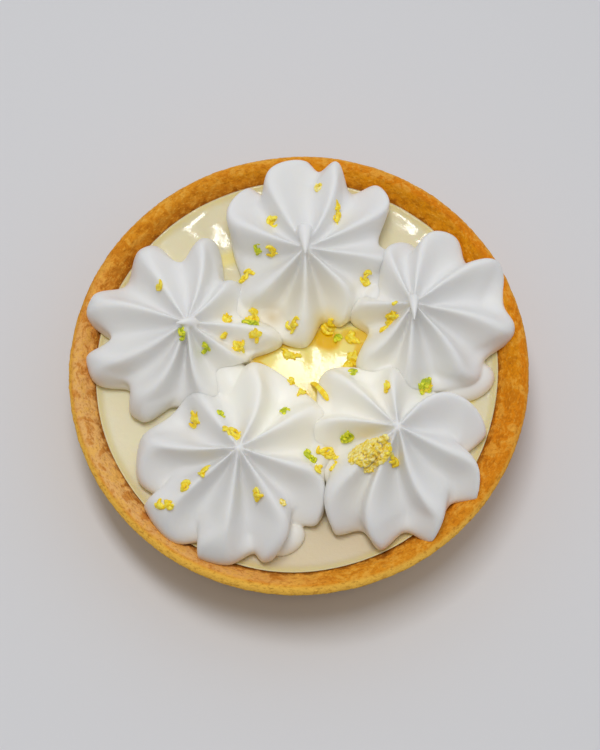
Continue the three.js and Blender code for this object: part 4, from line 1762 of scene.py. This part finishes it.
@dataclass
class Studio:
    """A pale floor, soft light from the far side, and a camera that looks down on the tartlet."""

    elevation: float = 70.0
    distance: float = 450.0
    aim: tuple[float, float, float] = (0.2, 0.0, 13.8)
    lens: float = 109.7
    floor_colour: Colour = (0.70, 0.70, 0.72)
    daylight: float = 0.44
    daylight_from: float = 65.0
    dim: Colour = (0.58, 0.56, 0.53)
    bright: Colour = (1.32, 1.36, 1.42)
    # Each lamp's place in millimetres and its power in watts, with the skylight's sides and the glow's source, also in
    # millimetres, the glow's target and how wide its beam opens in degrees.
    skylight_at: tuple[float, float, float] = (-38, 60, 700)
    skylight_sides: Place = (120, 300)
    skylight: float = 2.05
    glow_at: tuple[float, float, float] = (60, 330, 620)
    glow_target: tuple[float, float, float] = (1, -2, 20)
    glow_opening: float = 6.0
    glow_source: float = 220
    glow: float = 4.6

    FLOOR_HALF = 1500
    FLOOR_ROUGHNESS = 0.6
    SENSOR = 36

    def build(self) -> None:
        """Makes the floor, the lights and the camera."""
        bpy.context.scene.view_settings.view_transform = "Standard"
        self.lay_floor()
        self.light_sky()

        skylight = bpy.data.lights.new("skylight", "AREA")
        skylight.shape = "RECTANGLE"
        skylight.size, skylight.size_y = (side * MM for side in self.skylight_sides)
        skylight.energy = self.skylight
        self.hang(skylight, Vector(self.skylight_at), Vector((0, 0, 0)))

        glow = bpy.data.lights.new("glow", "SPOT")
        glow.energy = self.glow
        glow.shadow_soft_size = self.glow_source * MM
        glow.spot_size = math.radians(self.glow_opening)
        glow.spot_blend = 1
        self.hang(glow, Vector(self.glow_at), Vector(self.glow_target))

        camera = bpy.data.cameras.new("camera")
        camera.sensor_width = self.SENSOR
        camera.lens = self.lens
        lean = math.radians(self.elevation)
        back = Vector((0, -math.cos(lean), math.sin(lean)))
        aim = Vector(self.aim)
        bpy.context.scene.camera = self.hang(camera, aim + back * self.distance, aim)

    def lay_floor(self) -> None:
        """Lays the floor, which is not on the tartlet's body."""
        form = bmesh.new()
        bmesh.ops.create_grid(form, x_segments=1, y_segments=1, size=self.FLOOR_HALF)
        floor = finished("floor", form)
        sockets = {"Base Color": self.floor_colour, "Roughness": self.FLOOR_ROUGHNESS}
        floor.data.materials.append(Recipe("pale_floor").surface(sockets))

    def light_sky(self) -> None:
        """Fills the sky with daylight, brightest on one side."""
        world = bpy.data.worlds.new("daylight")
        bpy.context.scene.world = world
        sky = Recipe("daylight", world)
        brightest = polar(1, self.daylight_from)
        way = sky.node("ShaderNodeTexCoord", output="Generated")
        facing = sky.node("ShaderNodeVectorMath", {"operation": "DOT_PRODUCT"}, {0: way, 1: brightest}, output="Value")
        colour = sky.blend(facing.spread(-1, 1), self.dim, self.bright)
        background = sky.node("ShaderNodeBackground", inputs={"Color": colour, "Strength": self.daylight})
        sky.node("ShaderNodeOutputWorld", inputs={"Surface": background})

    def hang(self, thing: bpy.types.Light | bpy.types.Camera, place: Vector, target: Vector) -> bpy.types.Object:
        """Hangs a light or a camera.

        Args:
            thing: The light or the camera.
            place: Where it hangs, in millimetres.
            target: Where it looks, in millimetres.

        Returns:
            The object that holds it.
        """
        holder = bpy.data.objects.new(thing.name, thing)
        holder.location = place * MM
        holder.rotation_euler = (target - place).to_track_quat("-Z", "Y").to_euler()
        bpy.context.scene.collection.objects.link(holder)
        return holder


def main() -> None:
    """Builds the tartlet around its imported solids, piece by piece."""
    logging.basicConfig(level=logging.INFO, format="%(name)s: %(message)s")
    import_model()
    low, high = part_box("pastry_shell")
    curd_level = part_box("meringue_1")[0].z / MM - AIR

    Studio().build()
    widest = (high.x - low.x + high.y - low.y) / 4 / MM
    shell = PastryShell(widest, height=high.z / MM)
    shell.build(curd_level)
    curd = CurdFill(shell, curd_level).build()
    ring = MeringueRing(curd_level)
    stars = ring.build()
    GratedZest().build(ring.stars, [curd, *stars])


if __name__ == "__main__":
    main()
